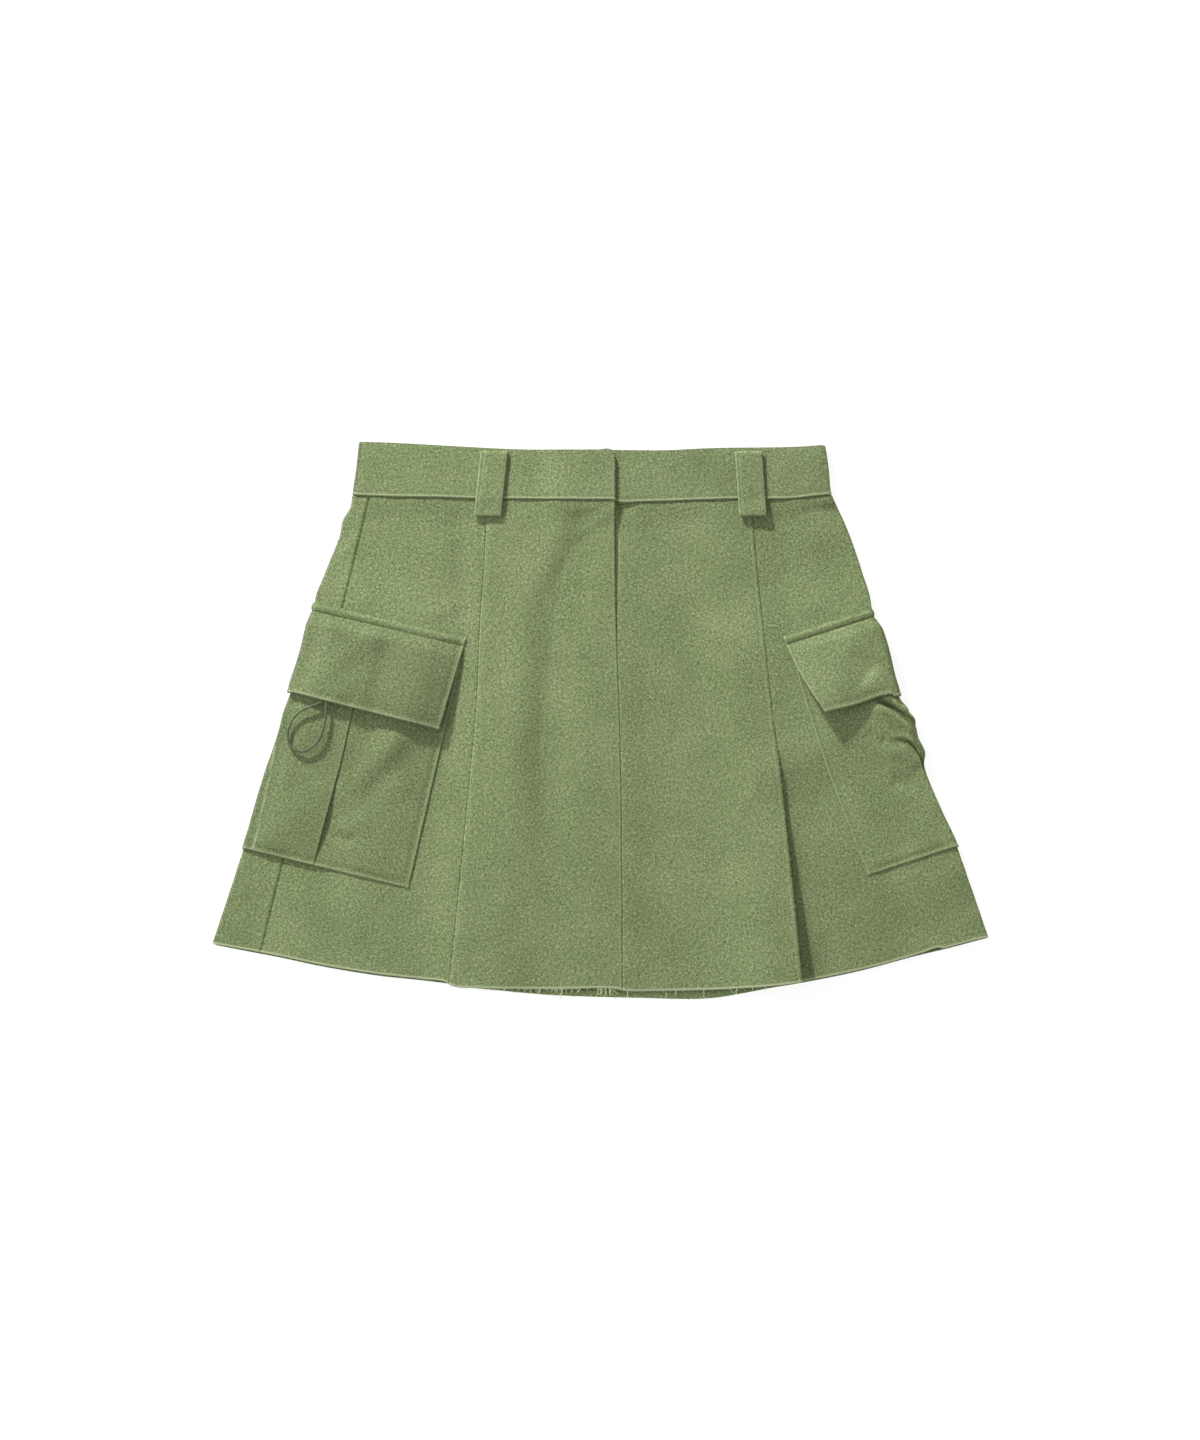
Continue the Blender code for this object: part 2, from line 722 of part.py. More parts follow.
def cord(name, finish):
    """The elastic cord: a tube along a smooth line through its route."""
    route = [Vector(spot) * MM for spot in CORD_ROUTE]
    guide = [2 * route[0] - route[1], *route, 2 * route[-1] - route[-2]]
    points = []
    for step in range(CORD_POINTS):
        place = step / (CORD_POINTS - 1) * (len(route) - 1)
        i = min(int(place), len(route) - 2)
        t = place - i
        a, b, c, d = guide[i : i + 4]
        curved = (2 * a - 5 * b + 4 * c - d) * t * t + (3 * (b - c) + d - a) * t**3
        points.append((2 * b + (c - a) * t + curved) / 2)
    data = bpy.data.curves.new(name, "CURVE")
    data.dimensions = "3D"
    data.bevel_depth = CORD_RADIUS * MM
    data.bevel_resolution = 2
    data.use_fill_caps = True
    spline = data.splines.new("POLY")
    spline.points.add(len(points) - 1)
    for point, place in zip(spline.points, points):
        point.co = (*place, 1)
    data.materials.append(material(name, finish))
    tube = bpy.data.objects.new(name, data)
    bpy.context.scene.collection.objects.link(tube)
    return tube


def main():
    for obj in list(bpy.data.objects):
        bpy.data.objects.remove(obj)
    panels = {
        "back": back_row,
        "front_side_left": front_side_left_row,
        "front_centre_left": front_centre_left_row,
        "front_centre_right": front_centre_right_row,
        "front_side_right": front_side_right_row,
    }
    for name, make in panels.items():
        closed_wall(name, [make(share) for share in spread(0, 1, PANEL_ROWS)], CLOTH, TWILL)
    band = [band_row(share) for share in spread(0, 1, BAND_ROWS)]
    closed_wall("waistband", band, BAND, TWILL_DOUBLE)
    for name, loop in LOOPS.items():
        rows = [loop_row(loop, share) for share in spread(0, 1, LOOP_ROWS)]
        closed_wall(name, rows, LOOP, TWILL_DOUBLE)
    for name, make in {"pocket_left": box_pleat_row, "pocket_right": pocket_row}.items():
        rows = [make(PATCHES[name], share) for share in spread(0, 1, POCKET_ROWS)]
        closed_wall(name, rows, CLOTH, TWILL)
    for name in ("pocket_flap_left", "pocket_flap_right"):
        rows = [flap_row(PATCHES[name], share) for share in spread(0, 1, FLAP_ROWS)]
        closed_wall(name, rows, FLAP, TWILL_DOUBLE)
    cord("cord_loop", ELASTIC)


main()
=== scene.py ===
"""The cargo utility skirt as it looks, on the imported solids.

Lengths are in millimetres up to the point where a mesh is made. z = 0 is what the skirt lies on,
the front faces +Z and +Y runs from the hem to the waistband. Left is side -1 and right is side 1.
A piece is a grid of points on the middle of its cloth: rows run across the skirt, one below the
other.
"""

import math
from collections import namedtuple
from functools import partial

import bpy
import numpy as np
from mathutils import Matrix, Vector

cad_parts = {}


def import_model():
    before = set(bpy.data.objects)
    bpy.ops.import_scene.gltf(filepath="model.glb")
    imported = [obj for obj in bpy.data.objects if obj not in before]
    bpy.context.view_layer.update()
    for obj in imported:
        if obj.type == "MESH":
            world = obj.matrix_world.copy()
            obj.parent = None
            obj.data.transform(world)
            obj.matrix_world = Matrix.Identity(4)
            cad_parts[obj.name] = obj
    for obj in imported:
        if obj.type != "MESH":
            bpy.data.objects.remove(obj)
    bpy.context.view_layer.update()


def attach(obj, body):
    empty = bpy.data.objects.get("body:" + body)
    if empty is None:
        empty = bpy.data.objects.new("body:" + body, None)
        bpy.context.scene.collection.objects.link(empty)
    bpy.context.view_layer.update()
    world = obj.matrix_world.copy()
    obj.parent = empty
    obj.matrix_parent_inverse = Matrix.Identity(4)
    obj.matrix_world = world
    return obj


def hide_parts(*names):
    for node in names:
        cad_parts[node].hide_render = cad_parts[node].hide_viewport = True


MM = 0.001


def table(columns, *rows):
    """Rows with named columns."""
    row = namedtuple("Row", columns)
    return [row(*values) for values in rows]


def tables(columns, **rows):
    """A table for each name, all with the same columns."""
    return {name: table(columns, *found) for name, found in rows.items()}


# --- Sizes that the solids have too ---

CLOTH, BAND, FLAP = 1.0, 2.4, 2.0  # walls: one layer, the waistband and a flap
GAP = 0.3
STEP = CLOTH + GAP

OUTLINE = table(
    "y left right",
    (206, -179.0, 166.0),
    (186, -181.0, 169.2),
    (167, -184.0, 171.5),
    (157, -185.6, 175.8),
    (148, -191.0, 180.0),
    (137, -193.2, 184.6),
    (126, -197.4, 188.6),
    (104, -206.0, 195.6),
    (92, -210.8, 199.4),
    (82, -212.2, 201.0),
    (52, -219.0, 210.0),
    (20, -228.2, 217.0),
    (8, -233.2, 220.0),
    (-8, -237.0, 229.0),
    (-40, -247.6, 240.3),
    (-63, -254.8, 249.4),
    (-90, -262.8, 262.5),
    (-118, -271.8, 272.6),
    (-164, -287.2, 288.5),
)
BAND_TOP = table(
    "x y",
    (-182, 205.6), (-152, 204.5), (-108, 202.1), (-63, 199.9), (0, 199.5),
    (48, 199.1), (81, 200.6), (148, 201.8), (170, 203.4),
)
WAIST_SEAM = table(
    "x y",
    (-184, 166.2), (-171, 165.4), (-148, 164.7), (-119, 164.3), (-100, 163.6),
    (-60, 163.1), (0, 162.5), (9, 162.4), (15, 160.6), (30, 160.9), (56, 161.7),
    (74, 162.4), (100, 163.1), (133, 163.1), (140, 163.3), (148, 164.0), (155, 164.9),
    (162, 165.6), (172, 166.7),
)
FRONT_HEM = table(
    "x y",
    (-288, -165.2), (-280, -166.8), (-263, -169.8), (-237, -174.7), (-208, -180.9),
    (-163, -188.2), (-148, -189.9), (-130, -191.9), (-115, -193.7), (-110, -196.6),
    (-93, -198.1), (-60, -199.0), (-30, -199.1), (12, -198.9), (17, -200.1),
    (44, -200.5), (96, -198.6), (149, -193.4), (192, -184.8), (226, -176.0),
    (240, -171.6), (251, -168.2), (254, -169.0), (258, -168.0), (281, -161.9),
    (288, -160.5),
)
BACK_HEM = table(
    "x y",
    (-288, -165.9), (-280, -167.6), (-263, -170.9), (-237, -175.9), (-208, -182.1),
    (-163, -189.5), (-148, -191.1), (-130, -193.0), (-115, -194.9), (-100, -197.6),
    (-78, -199.9), (-41, -203.3), (26, -205.6), (81, -206.0), (103, -202.8),
    (126, -198.4), (149, -194.6), (192, -185.8), (236, -174.1), (258, -168.9),
    (281, -162.8), (288, -161.2),
)
SEAMS = table(
    "y side_left pleat_left centre pleat_right side_right_under",
    (170, -169.8, -84.0, 10.3, 112.0, 26),
    (148, -175.2, -84.2, 10.2, 112.8, 26),
    (107, -185.0, -86.2, 10.6, 116.2, 24),
    (72, -193.5, -88.8, 11.2, 119.8, 22),
    (12, -207.8, -91.4, 13.4, 126.2, 19),
    (-44, -221.0, -96.4, 14.8, 133.3, 15),
    (-104, -235.0, -102.2, 15.5, 139.8, 11),
    (-200, -258.4, -112.0, 15.9, 149.2, 6),
)
SEAM_HALF_GAP = 0.2
BACK_TO_FRONT, SIDE_FOLD_ROOM, LEAST_ROOM = 1.0, 1.6, 0.2  # the space inside the skirt
SIDE_ZONE, WAIST_ZONE = 40, 20  # how far in from the sides and down from the waist it changes
UNDERLAP, LAP_MARGIN, DRAPE = 16, 2, 20  # of a pleat's lower layer, and how cloth comes down past it
RETURN = 12  # what is turned under at a folded edge
FLY_UNDERLAP, SEAM_UNDERLAP = 30, 18  # at centre front, behind the fly and below it
FLY_END, FLY_TAPER = 36, 16  # the height where one changes to the other
PLEAT_ZONE = 85  # how far in from its edge the right-hand pleat stands open

# Soft folds of the front, from a top to a low point.
FOLD_FADE = 0.15
FRONT_FOLDS = table(
    "x_top y_top x_low y_low width rise",
    (-64, 90, -72, -190, 15, 0.5),
    (-134, 150, -128, 80, 18, 0.6),
    (-150, -60, -172, -190, 24, 0.6),
    (-212, -110, -228, -180, 20, 0.7),
    (52, 130, 66, -198, 30, 0.4),
    (150, 150, 156, 84, 18, 0.5),
    (176, -40, 196, -184, 22, 0.5),
    (232, -100, 250, -170, 16, 0.7),
)
PATCH_TABLE = table(
    "node side x_top y_top x_low y_low bow fold_y_top fold_y_low under",
    ("pocket_left", -1, -103.4, 44.0, -142.4, -124.3, 0, 68.0, -95.2, 70),
    ("pocket_right", 1, 142.5, 44.0, 198.3, -114.7, -3, 63.0, -93.8, 96),
    ("pocket_flap_left", -1, -99.5, 60.7, -119.5, -6.7, 0, 86.6, 20.4, 68),
    ("pocket_flap_right", 1, 135.1, 61.4, 165.4, 6.2, -2.5, 82.0, 17.6, 92),
)
PATCHES = {patch.node: patch for patch in PATCH_TABLE}
POCKETS = {-1: PATCHES["pocket_left"], 1: PATCHES["pocket_right"]}
UNDER_SLOPE = 0.375  # of the pockets' and flaps' edges on the underside
UNDER_MARGIN, UNDER_DRAPE = 14, 34  # how the back comes down to the floor past them
POCKET_CLEAR, POCKET_BULGE, POCKET_LENGTH = 0.5, 0.9, 168  # clear of the skirt, and bulging
BOX_DEPTH, BOX_SLOPE = 7, 16  # of the left-hand pocket's pleat
BOX_FOLD = table(
    "share x",
    (0, -172.3), (0.36, -185.3), (0.52, -191.2), (0.68, -198.4), (0.85, -206.0), (1, -212.4),
)
FLAP_LENGTH, FLAP_BAND, FLAP_OVER_POCKET = 70, 6, 17  # from its top to its sewn band and pocket
BAND_END, BAND_UNDER_END = 10.5, -22  # the waistband's two ends, one over the other
BAND_MIDDLE = 186
BAND_ROOM, BAND_DRAPE, BAND_MARGIN = 1.3, 24, 3  # inside it, and how it comes down past its end
LOOPS = table(
    "node x_top x_low sag",
    ("belt_loop_left", -78.6, -83.6, 0.8),
    ("belt_loop_right", 109.4, 112.8, -0.5),
)
LOOP_WIDTH, LOOP_TOP, LOOP_LOW, LOOP_TURN = 19.5, 198.3, 151.0, 8.0

CORD_RADIUS, CORD_POINTS = 0.9, 56
CORD_ROUTE = [
    (-204.4, 25.0, 14.3), (-204.2, 18.4, 14.5), (-205.6, 13.9, 14.7), (-209.6, 11.6, 15.0),
    (-215.4, 9.4, 15.0), (-221.2, 6.6, 14.6), (-226.2, 1.9, 13.6), (-229.9, -4.9, 12.2),
    (-231.2, -11.4, 11.3), (-229.6, -18.2, 10.9), (-224.8, -22.4, 11.4),
    (-218.4, -22.9, 12.2), (-212.2, -19.4, 12.9), (-207.0, -13.0, 13.9),
    (-204.0, -4.0, 15.0), (-202.6, 4.2, 15.5), (-202.3, 12.0, 15.4),
    (-202.2, 18.6, 15.2), (-202.0, 25.0, 14.9),
]

# --- Sizes that only the looks have ---

WALL = 0.8  # the cloth itself; the solids' walls are a little thicker
SHARP_FROM = 60  # degrees between two faces
FOLD_POWER = 0.62  # the cloth is pressed flat at its side folds
FLAP_WALL, LOOP_WALL = 1.6, 1.2
FINE, COARSE = 2.4, 4.0  # the grid's step on the front, and where it hardly shows
PLEATED, CRUMPLED, FLAP_STEP = 1.6, 1.0, 1.5  # across the left pocket, the right one and a flap
LOOP_STEP, LOOP_TUCKED_STEP = 1.5, 2.0  # down a belt loop, and where it is turned under
FOLD_COLUMNS, POCKET_COLUMNS, CRUMPLED_COLUMNS = 9, 15, 31  # round a side fold
BAND_COLUMNS, BEND_COLUMNS = 7, 5  # and round the waistband's folds and those of pressed edges
EDGE_STATIONS = (0, 0.35, 0.7, 1.1, 1.5, 2.0, 2.7, 3.6, 5.0, 7.0)  # from a sewn edge
SEWN_AT = 4  # the station where that edge is stitched
HEM_STATIONS = (0, 0.5, 1.1, 2.0, 3.4, 5.0)
UNDER_STATIONS = (0, 0.7, 1.5, 2.7)
LOOP_STATIONS = (0, 0.5, 1.1, 1.6, 2.2)
LOOP_SEWN_AT = 3
FLAP_STATIONS = (0, 0.5, 1.2, 2.0, 3.0, 4.0, 5.0, 5.6, 6.1, 6.6, 7.2, 8.0, 9.2)
LAP = 0.95  # from one layer of a pressed lap to the next
BEND = LAP / 2
LAP_DRAPE = 40  # how gently the cloth comes down past a lap
PRESSED, PRESS_FADE, PRESS_IN = 1.2, 22, 1.3  # the cloth beside a lap is pressed up against it
PAST_SEAM = 0.2  # how far under a lap it is
SIDE_PRESS, CENTRE_PRESS, FLY_PRESS = 1.3, 1.5, 0.3  # how much of a lap's step that hides
FLY_PRESS_FADE = 50
BAND_CORNER, CORNER_SHARE, CORNER_POWER = 3.0, 0.26, 2.4  # its end at centre front is rounded
BAND_NUB, BAND_NUB_AT, BAND_NUB_WIDTH = 0.9, 4.6, 3.4  # and stands up a little
END_GAP = 0.9  # beneath that end
BAND_EDGE = 1.1  # the panels' tops lie this far below the waistband's face at its seam
EDGE_DIP, EDGE_DIP_ZONE = 0.2, 3.0  # a pressed edge lies lower
FLY_STAND, FLY_STAND_FROM, FLY_STAND_TO = 1.3, 80, 135  # the fly's edge stands open at the top
FLY_STAND_ZONE, FLY_STAND_BELOW = 28, 14
CLOSED_TO, CLOSED_FADE = -14, 34  # the right-hand pleat lies closed down to here
PLEAT_OPENING = table(
    "y rise",
    (-200, 10.0), (-190, 9.6), (-133, 6.5), (-103, 4.5),
    (-73, 2.8), (-45, 1.4), (-14, 0.2), (10, 0.0),
)
HIDDEN_GAP = 0.6  # between what shows of a lower panel and what the grid has under the lap
FLY_SHOWN, FLY_HIDDEN = 0.4, 1.2  # where those two end at the fly
EDGE_PRESS, EDGE_PRESS_ZONE = 0.55, 7  # sewn pocket edges lie on the skirt
LOW_PRESS_CLEAR = 12  # but not beside the side fold
BULGE_FROM = 0.2  # a share of the pocket's length; its mouth hardly bulges
BOX_OPEN, BOX_OPEN_AT, BOX_OPEN_REACH = 1.3, 0.8, 0.12  # the pleat gapes near its lower end
BOX_OPEN_FROM, BOX_OPEN_FADE = 8, 22  # but not at its own edge
BOX_PRESS, BOX_PRESS_FADE = 1.0, 14  # the cloth beside it is pressed up to it
BOX_LOW_PRESS, BOX_LOW_ZONE = 0.3, 16  # and its lower end is pressed down
BOX_UNDER = 0.3  # how far under it the cloth beside it goes on
FLAP_RISE = {-1: 3.4, 1: 9.9}  # how far its lower edge stands off the pocket
FLAP_FLAT_ZONE = {-1: 46, 1: 58}  # but not beside the side fold
FLAP_SEWN = 1.3  # how far above what it lies on
FLAP_EAR = {-1: 1.3, 1: 0.2}  # how far its top stands out at the side
FLAP_PAST_BOX, FLAP_OFF_BOX = 4, 12  # how it comes down beside the pocket's pleat
FLAP_HEM_AT, FLAP_HEM_REACH, FLAP_HEM_LIFT = 208, 13, 2.4  # the right-hand flap's edge waves
LOOP_LAYER = 1.35  # from one layer of a belt loop to the other
LOOP_SAG_FROM, LOOP_SAG_FADE = 3, 12  # its lower end sinks from a little above the waist seam

# The outer edge of the right-hand pocket bulges where its cloth is crumpled.
LOBES = table("y width out", (8.2, 3.4, 2.8), (0.2, 6.0, 5.0), (-23.5, 6.6, 3.6))

# A crease follows a smooth line through its points and fades out towards both ends. A ridge, or
# a trough where its rise is below 0, has its crest on that line. A drop has its steepest slope
# there, and with a rise above 0 the cloth lies higher on the right of the line's own direction.
LINE_FADE = 0.25
CREASES = tables(
    "kind width rise points",
    front=[
        ("drop", 12, 1.15,
         [(-2, 158), (-17, 146), (-25, 129), (-35, 92), (-44, 44), (-47, 2), (-50, -22), (-46, -96),
          (-36, -190)]),
        ("drop", 9, 0.45, [(-8, 150), (-30, 120), (-46, 96), (-58, 60)]),
        ("drop", 6, 0.35, [(-112, 140), (-109, 116), (-106, 92), (-110, 62)]),
        ("drop", 4, 0.35, [(-195, 122), (-187, 131), (-179, 142)]),
        ("ridge", 4.5, -1.5, [(148, 155), (160, 158), (172, 160), (186, 163)]),
        ("ridge", 3.2, -0.9, [(7, 161), (-2, 156), (-12, 152), (-26, 150)]),
        ("ridge", 4, 0.6, [(9, 152), (0, 148), (-12, 140), (-24, 128)]),
        ("ridge", 3.4, -0.6, [(-20, 160), (-32, 158), (-46, 158)]),
        ("ridge", 2.6, -0.8, [(10, 34), (2, 37), (-8, 42), (-20, 49)]),
        ("ridge", 6, 0.45, [(14, 156), (24, 148), (36, 142)]),
    ],
    pocket_left=[
        ("drop", 8, 0.9, [(-136, -10), (-152, -26), (-168, -44), (-182, -62)]),
        ("ridge", 9, 0.7, [(-142, -42), (-154, -50), (-166, -62)]),
        ("ridge", 7, 0.6, [(-168, -70), (-180, -76), (-196, -84)]),
        ("ridge", 3.5, -0.9, [(-180, -90), (-190, -88), (-200, -84)]),
    ],
    pocket_right=[
        ("ridge", 16, 1.4, [(188, 20), (206, 6), (222, -12), (240, -34)]),
        ("ridge", 3.4, 2.8, [(208, 22), (216, 16), (224, 9.5), (229, 3), (232, -4), (234, -9)]),
        ("ridge", 5.5, 2.0,
         [(196, 12), (205, 8), (213, 3), (222, -3), (228, -9), (232, -15), (236, -26)]),
        ("drop", 2.0, 1.5,
         [(200, 17), (208, 11), (214, 7.4), (221, 3), (229, -3.7), (232.4, -8.6), (236, -14)]),
        ("drop", 1.7, -0.8,
         [(214, -13), (221, -13.4), (226.5, -14.6), (230.8, -17.9), (234.2, -22.4), (239, -31.7)]),
        ("ridge", 6, -0.9, [(196, -7), (205, -13), (213, -17)]),
        ("ridge", 5, 1.2, [(210, -22), (221, -24), (230, -29), (236, -37)]),
        ("ridge", 6, -0.9, [(214, -44), (224, -46), (236, -46)]),
    ],
    pocket_flap_left=[
        ("ridge", 15, 2.2, [(-236, 12), (-218, 20), (-202, 20), (-186, 10)]),
        ("drop", 8, 0.55, [(-156, 62), (-172, 53), (-186, 43), (-200, 31), (-210, 22)]),
        ("ridge", 9, 0.4, [(-180, 66), (-164, 62), (-150, 64)]),
    ],
    pocket_flap_right=[
        ("ridge", 7, 0.8, [(178, 59), (190, 56), (202, 48), (212, 40)]),
        ("ridge", 6, -0.6, [(184, 48), (196, 44), (206, 36)]),
        ("ridge", 11, 2.6, [(196, 34), (210, 22), (226, 10)]),
    ],
)
CREASE_MARGIN, BOX_MARGIN = 14, 8  # a pocket's creases end so near its sewn edges and its pleat
LOOSE_FROM, LOOSE_FADE = 7, 10  # and a flap's at its sewn band
# Unevenness: about how long its waves are, how high, and the seed of its random draws.
RIPPLES = {
    "front": (60, 0.07, 3),
    "panel": (17, 0.06, 5),
    "waistband": (26, 0.14, 8),
    "loop": (12, 0.12, 11),
    "pocket": (22, 0.1, 21),
    "pocket_bend": (60, 0.2, 22),
    "flap": (24, 0.14, 31),
}
BAND_WAVE_SLANT = 0.6

# Soft lines on the outer faces, each so far from an edge or a line of its piece. Relief adds up, and of
# the rows for pale lines and for dark lines, which are shares, the strongest counts. The pale lines are
# worn edges and painted highlights on ridges, and the dark lines are seams and painted shade beside
# edges and laps.
MARKS = tables(
    "edge what at width amount",
    panel=[("top", "groove", 0, 0.6, 0.3)],
    front_side_left=[("first", "relief", 0, 0.8, -0.3), ("first", "groove", 0, 0.7, 0.85)],
    back=[
        ("last", "relief", 0, 0.8, -0.3),
        ("last", "relief", 2.2, 1.0, 0.15),
        ("last", "groove", 0, 0.7, 0.9),
    ],
    front_centre_left=[
        ("first", "wear", 1.3, 1.4, 0.08),
        ("last", "wear", 1.2, 0.8, 0.30),
        ("last", "relief", 1.6, 0.45, -0.12),
        ("fly", "relief", 0, 0.7, -0.14),
        ("fly", "groove", 0, 0.7, 0.16),
    ],
    front_centre_right=[
        # The first row paints the fly edge's shadow as a dark line.
        ("first", "groove", 0.5, 0.6, 0.3),
        ("last", "relief", 0.9, 0.7, 0.15),
        ("last", "relief", 2.4, 0.7, -0.18),
        ("last", "wear", 1.5, 0.6, 0.28),
    ],
    waistband=[
        ("top", "relief", 0, 0.5, -0.2),
        ("first", "relief", 0, 0.7, -0.3),
        ("first", "wear", 1.0, 0.7, 0.3),
        ("low", "relief", 0, 0.5, -0.85),
        ("low", "relief", 1.3, 0.7, 0.16),
        ("low", "relief", 2.9, 0.5, -0.16),
        ("low", "wear", 1.3, 0.8, 0.72),
        ("low", "groove", 2.9, 0.4, 0.15),
        ("low", "groove", 0, 0.4, 0.95),
    ],
    loop=[
        ("sides", "relief", 0, 0.5, -0.25),
        ("sides", "relief", 1.6, 0.35, -0.15),
        ("sides", "wear", 0, 0.6, 0.4),
        ("sides", "wear", 2.2, 0.5, 0.2),
        ("sides", "groove", 1.6, 0.3, 0.35),
    ],
    pocket=[
        ("first", "wear", 0.8, 0.6, 0.5),
        ("first", "groove", 3.4, 1.2, 0.12),
        ("low", "wear", 0.8, 0.7, 0.6),
        ("low", "groove", 3.4, 1.4, 0.2),
        ("sewn", "groove", 0, 0.25, 0.8),
    ],
    pocket_left=[
        ("line", "relief", 0, 0.8, 0.25),
        ("line", "wear", 0, 0.7, 0.7),
        ("line", "groove", 1.5, 0.9, 0.25),
        ("box", "wear", 0, 0.6, 0.2),
    ],
    flap=[
        ("top", "relief", 0, 1.0, -0.45),
        ("top", "relief", 2.6, 2.0, 0.45),
        ("top", "relief", 6.4, 0.8, -0.6),
        ("top", "relief", 8.2, 1.2, 0.15),
        # The pale line on the band is a painted highlight, and the dark line at its top edge painted
        # shade.
        ("top", "wear", 1.8, 1.0, 0.12),
        ("top", "groove", 6.4, 0.6, 0.6),
        ("top", "groove", 0, 0.4, 0.7),
        ("first", "wear", 0.8, 0.6, 0.6),
        ("low", "wear", 0.8, 0.7, 0.75),
        ("sewn", "groove", 0, 0.25, 0.7),
    ],
)
# Relief along the two sewn edges of a pocket or a flap: the edge itself, and the dip inside it.
SEWN_EDGE = table("at width amount", (0.9, 0.7, 0.22), (0, 0.3, -0.3))
SEWN_DIP = table("at width amount", (3.6, 1.5, -0.32))
# The lines that marks follow: the fly's stitching, and a worn line on the left-hand pocket.
FLY_STITCH = [(-15.2, 162), (-15.4, 120), (-15, 80), (-14.2, 56), (-10, 42), (-2, 35.5), (9, 33.5)]
FLY_STITCH_TO = 11
POCKET_LEFT_LINE = [(-240.5, -20), (-245.5, -44), (-250.6, -68), (-254.6, -85), (-257.6, -97)]
HEM_WEAR, HEM_WEAR_FROM, HEM_WEAR_FADE = 1.5, 0.6, 1.0

# Painted shade on the cloth beside a crest, on the left of its line: fully dark right from the crest,
# and then fading.
SHADES = table(
    "full fade dark points",
    (3.2, 3.0, 0.85,
     [(200, 15), (206.5, 11.6), (214.2, 7.4), (220.2, 3.5), (225.1, -0.5), (229, -5.4), (233, -11)]),
    (0.8, 2.2, 1.2, [(206, 13.6), (213, 10.6), (218.6, 7.0), (224, 3.4), (229, -0.6), (233, -5)]),
    (0.7, 1.5, 1.6,
     [(241, -42), (240, -36), (238, -29), (235.9, -24.7), (233.6, -21.2), (231.4, -18),
      (228.6, -15.6), (225, -13.8), (218, -12.8)]),
    (2.0, 3.2, 0.3, [(234, -20), (230, -16.2), (223, -13.4), (214, -12.6), (208, -12), (202, -12)]),
)
SHADE_EDGE, SHADE_GROOVE, SHADE_TONE = 0.9, 0.6, 0.4
RIDGE_LINE = [(206, 19), (212, 16), (219, 12), (224.5, 7), (229, 1), (231, -5)]
RIDGE_WIDTH, RIDGE_HIGHLIGHT = 1.9, 0.5  # a painted highlight on a crest beside them

# Tones: 1 is the cloth's own colour, and below 1 it is darker.
TONES = {
    "pocket_left": 0.96,
    "pocket_right": 1.05,
    "pocket_flap_left": 0.84,
    "pocket_flap_right": 0.98,
}
FLAP_BAND_TONE, FLAP_BAND_FADE = 0.95, 2  # of a flap's sewn band
FOLD_SHADE, FOLD_SHADE_FROM = 0.5, 0.46  # painted shade where the cloth turns under at the sides
CRUMPLED_FOLD_SHADE = 0.85  # and painted shade where the right-hand pocket turns under
BOX_TONE = 0.94  # of the left-hand pocket's pleat
RIM_SHADE, RIGHT_RIM_LIGHT, RIM_WIDTH = 0.6, 1.3, 0.9  # painted shade on the waistband's upper rim and its left fold, painted light on its right fold, and the rim's width
SEAM_LIGHT = 1.15  # painted light in the left-hand pleat's seam, which lifts its shade so that it hardly shows
# Painted light: how much paler a panel is painted in a strip beside a lap, where the lap would shade
# it, between two heights.
LIT_STRIPS = table(
    "node at width paler y_from y_full",
    ("front_centre_right", 3.0, 1.8, 0.4, 60, 110),
    ("front_side_right", 2.6, 2.6, 0.14, -40, -80),
)
UNDER_PAINTED_LIGHT = 1.5  # painted light on the back, where it shows below the front in its shade
UNDER_SHADE, UNDER_SHADE_FROM, UNDER_SHADE_REACH = 0.6, 0.4, 3.2  # and painted shade close below the front's hem
UNDER_LIT, UNDER_LIT_REACH = 0.35, 30  # and less of that shade on the right of the centre
SIDES_FROM, SIDES_FADE = 100, 25  # past here only the back's edge shows, in full shade
SIDES_WEAR = 0.15  # how much of its pale wear shows there
# Spots painted paler or darker: painted shade in puckers and folds and painted light and shade across
# the skirt, partly the wash's own unevenness.
WASH_AND_SHADE_SPOTS = table(
    "x y reach_x reach_y change",
    (215, -60, 60, 60, 0.04),
    (120, 184, 90, 16, -0.07),
    (-120, 184, 70, 16, -0.02),
    (170, 158.6, 7.5, 3.6, -0.42),
    (159, 157, 8, 3, -0.14),
    (168.5, 131, 15, 11, -0.07),
    (150, 118, 26, 30, -0.03),
    (-60, 45, 24, 50, 0.03),
    (-190, -148, 50, 40, 0.05),
    (230, -145, 40, 30, 0.03),
    (-45, -60, 12, 130, -0.04),
    (-32, 100, 12, 40, -0.04),
    (-110, 110, 9, 34, -0.05),
    (-80, -60, 34, 200, 0.06),
    (-30, 60, 24, 60, 0.05),
    (-170, 60, 60, 250, 0.03),
    (146, 6, 14, 40, 0.13),
)

# Colours are sRGB, 0 to 255.
# The last colour is for worn edges and painted highlights.
TWILLS = table(
    "name dark middle light worn",
    ("twill", (76, 92, 48), (126, 141, 95), (178, 188, 145), (180, 191, 150)),
    ("twill_double", (78, 94, 50), (128, 143, 97), (179, 189, 146), (181, 192, 152)),
)
THREADS = table(
    "name colour variation",
    ("thread", (126, 141, 102), 10),
    ("fray", (214, 222, 176), 20),
    ("elastic_cord", (98, 108, 84), 12),
)
# The dark tint of seams and of painted shade.
SEAM_AND_SHADE_TINT = (0.40, 0.50, 0.28, 1)
YARN = table(  # strokes per millimetre, and how much each kind counts in the colour
    "turn across along weight",
    (0, 1.3, 0.45, 0.9),
    (90, 1.3, 0.45, 0.9),
    (45, 1.1, 0.4, 1.0),
    (-45, 1.1, 0.4, 1.1),
    (0, 1.2, 1.2, 1.0),
    (0, 0.022, 0.022, 0.3),
)
GRAIN_TURN = {  # degrees; elsewhere the cloth's grain runs from the hem to the waist
    "pocket_left": 13,
    "pocket_right": -12,
    "pocket_flap_left": 13,
    "pocket_flap_right": -12,
}

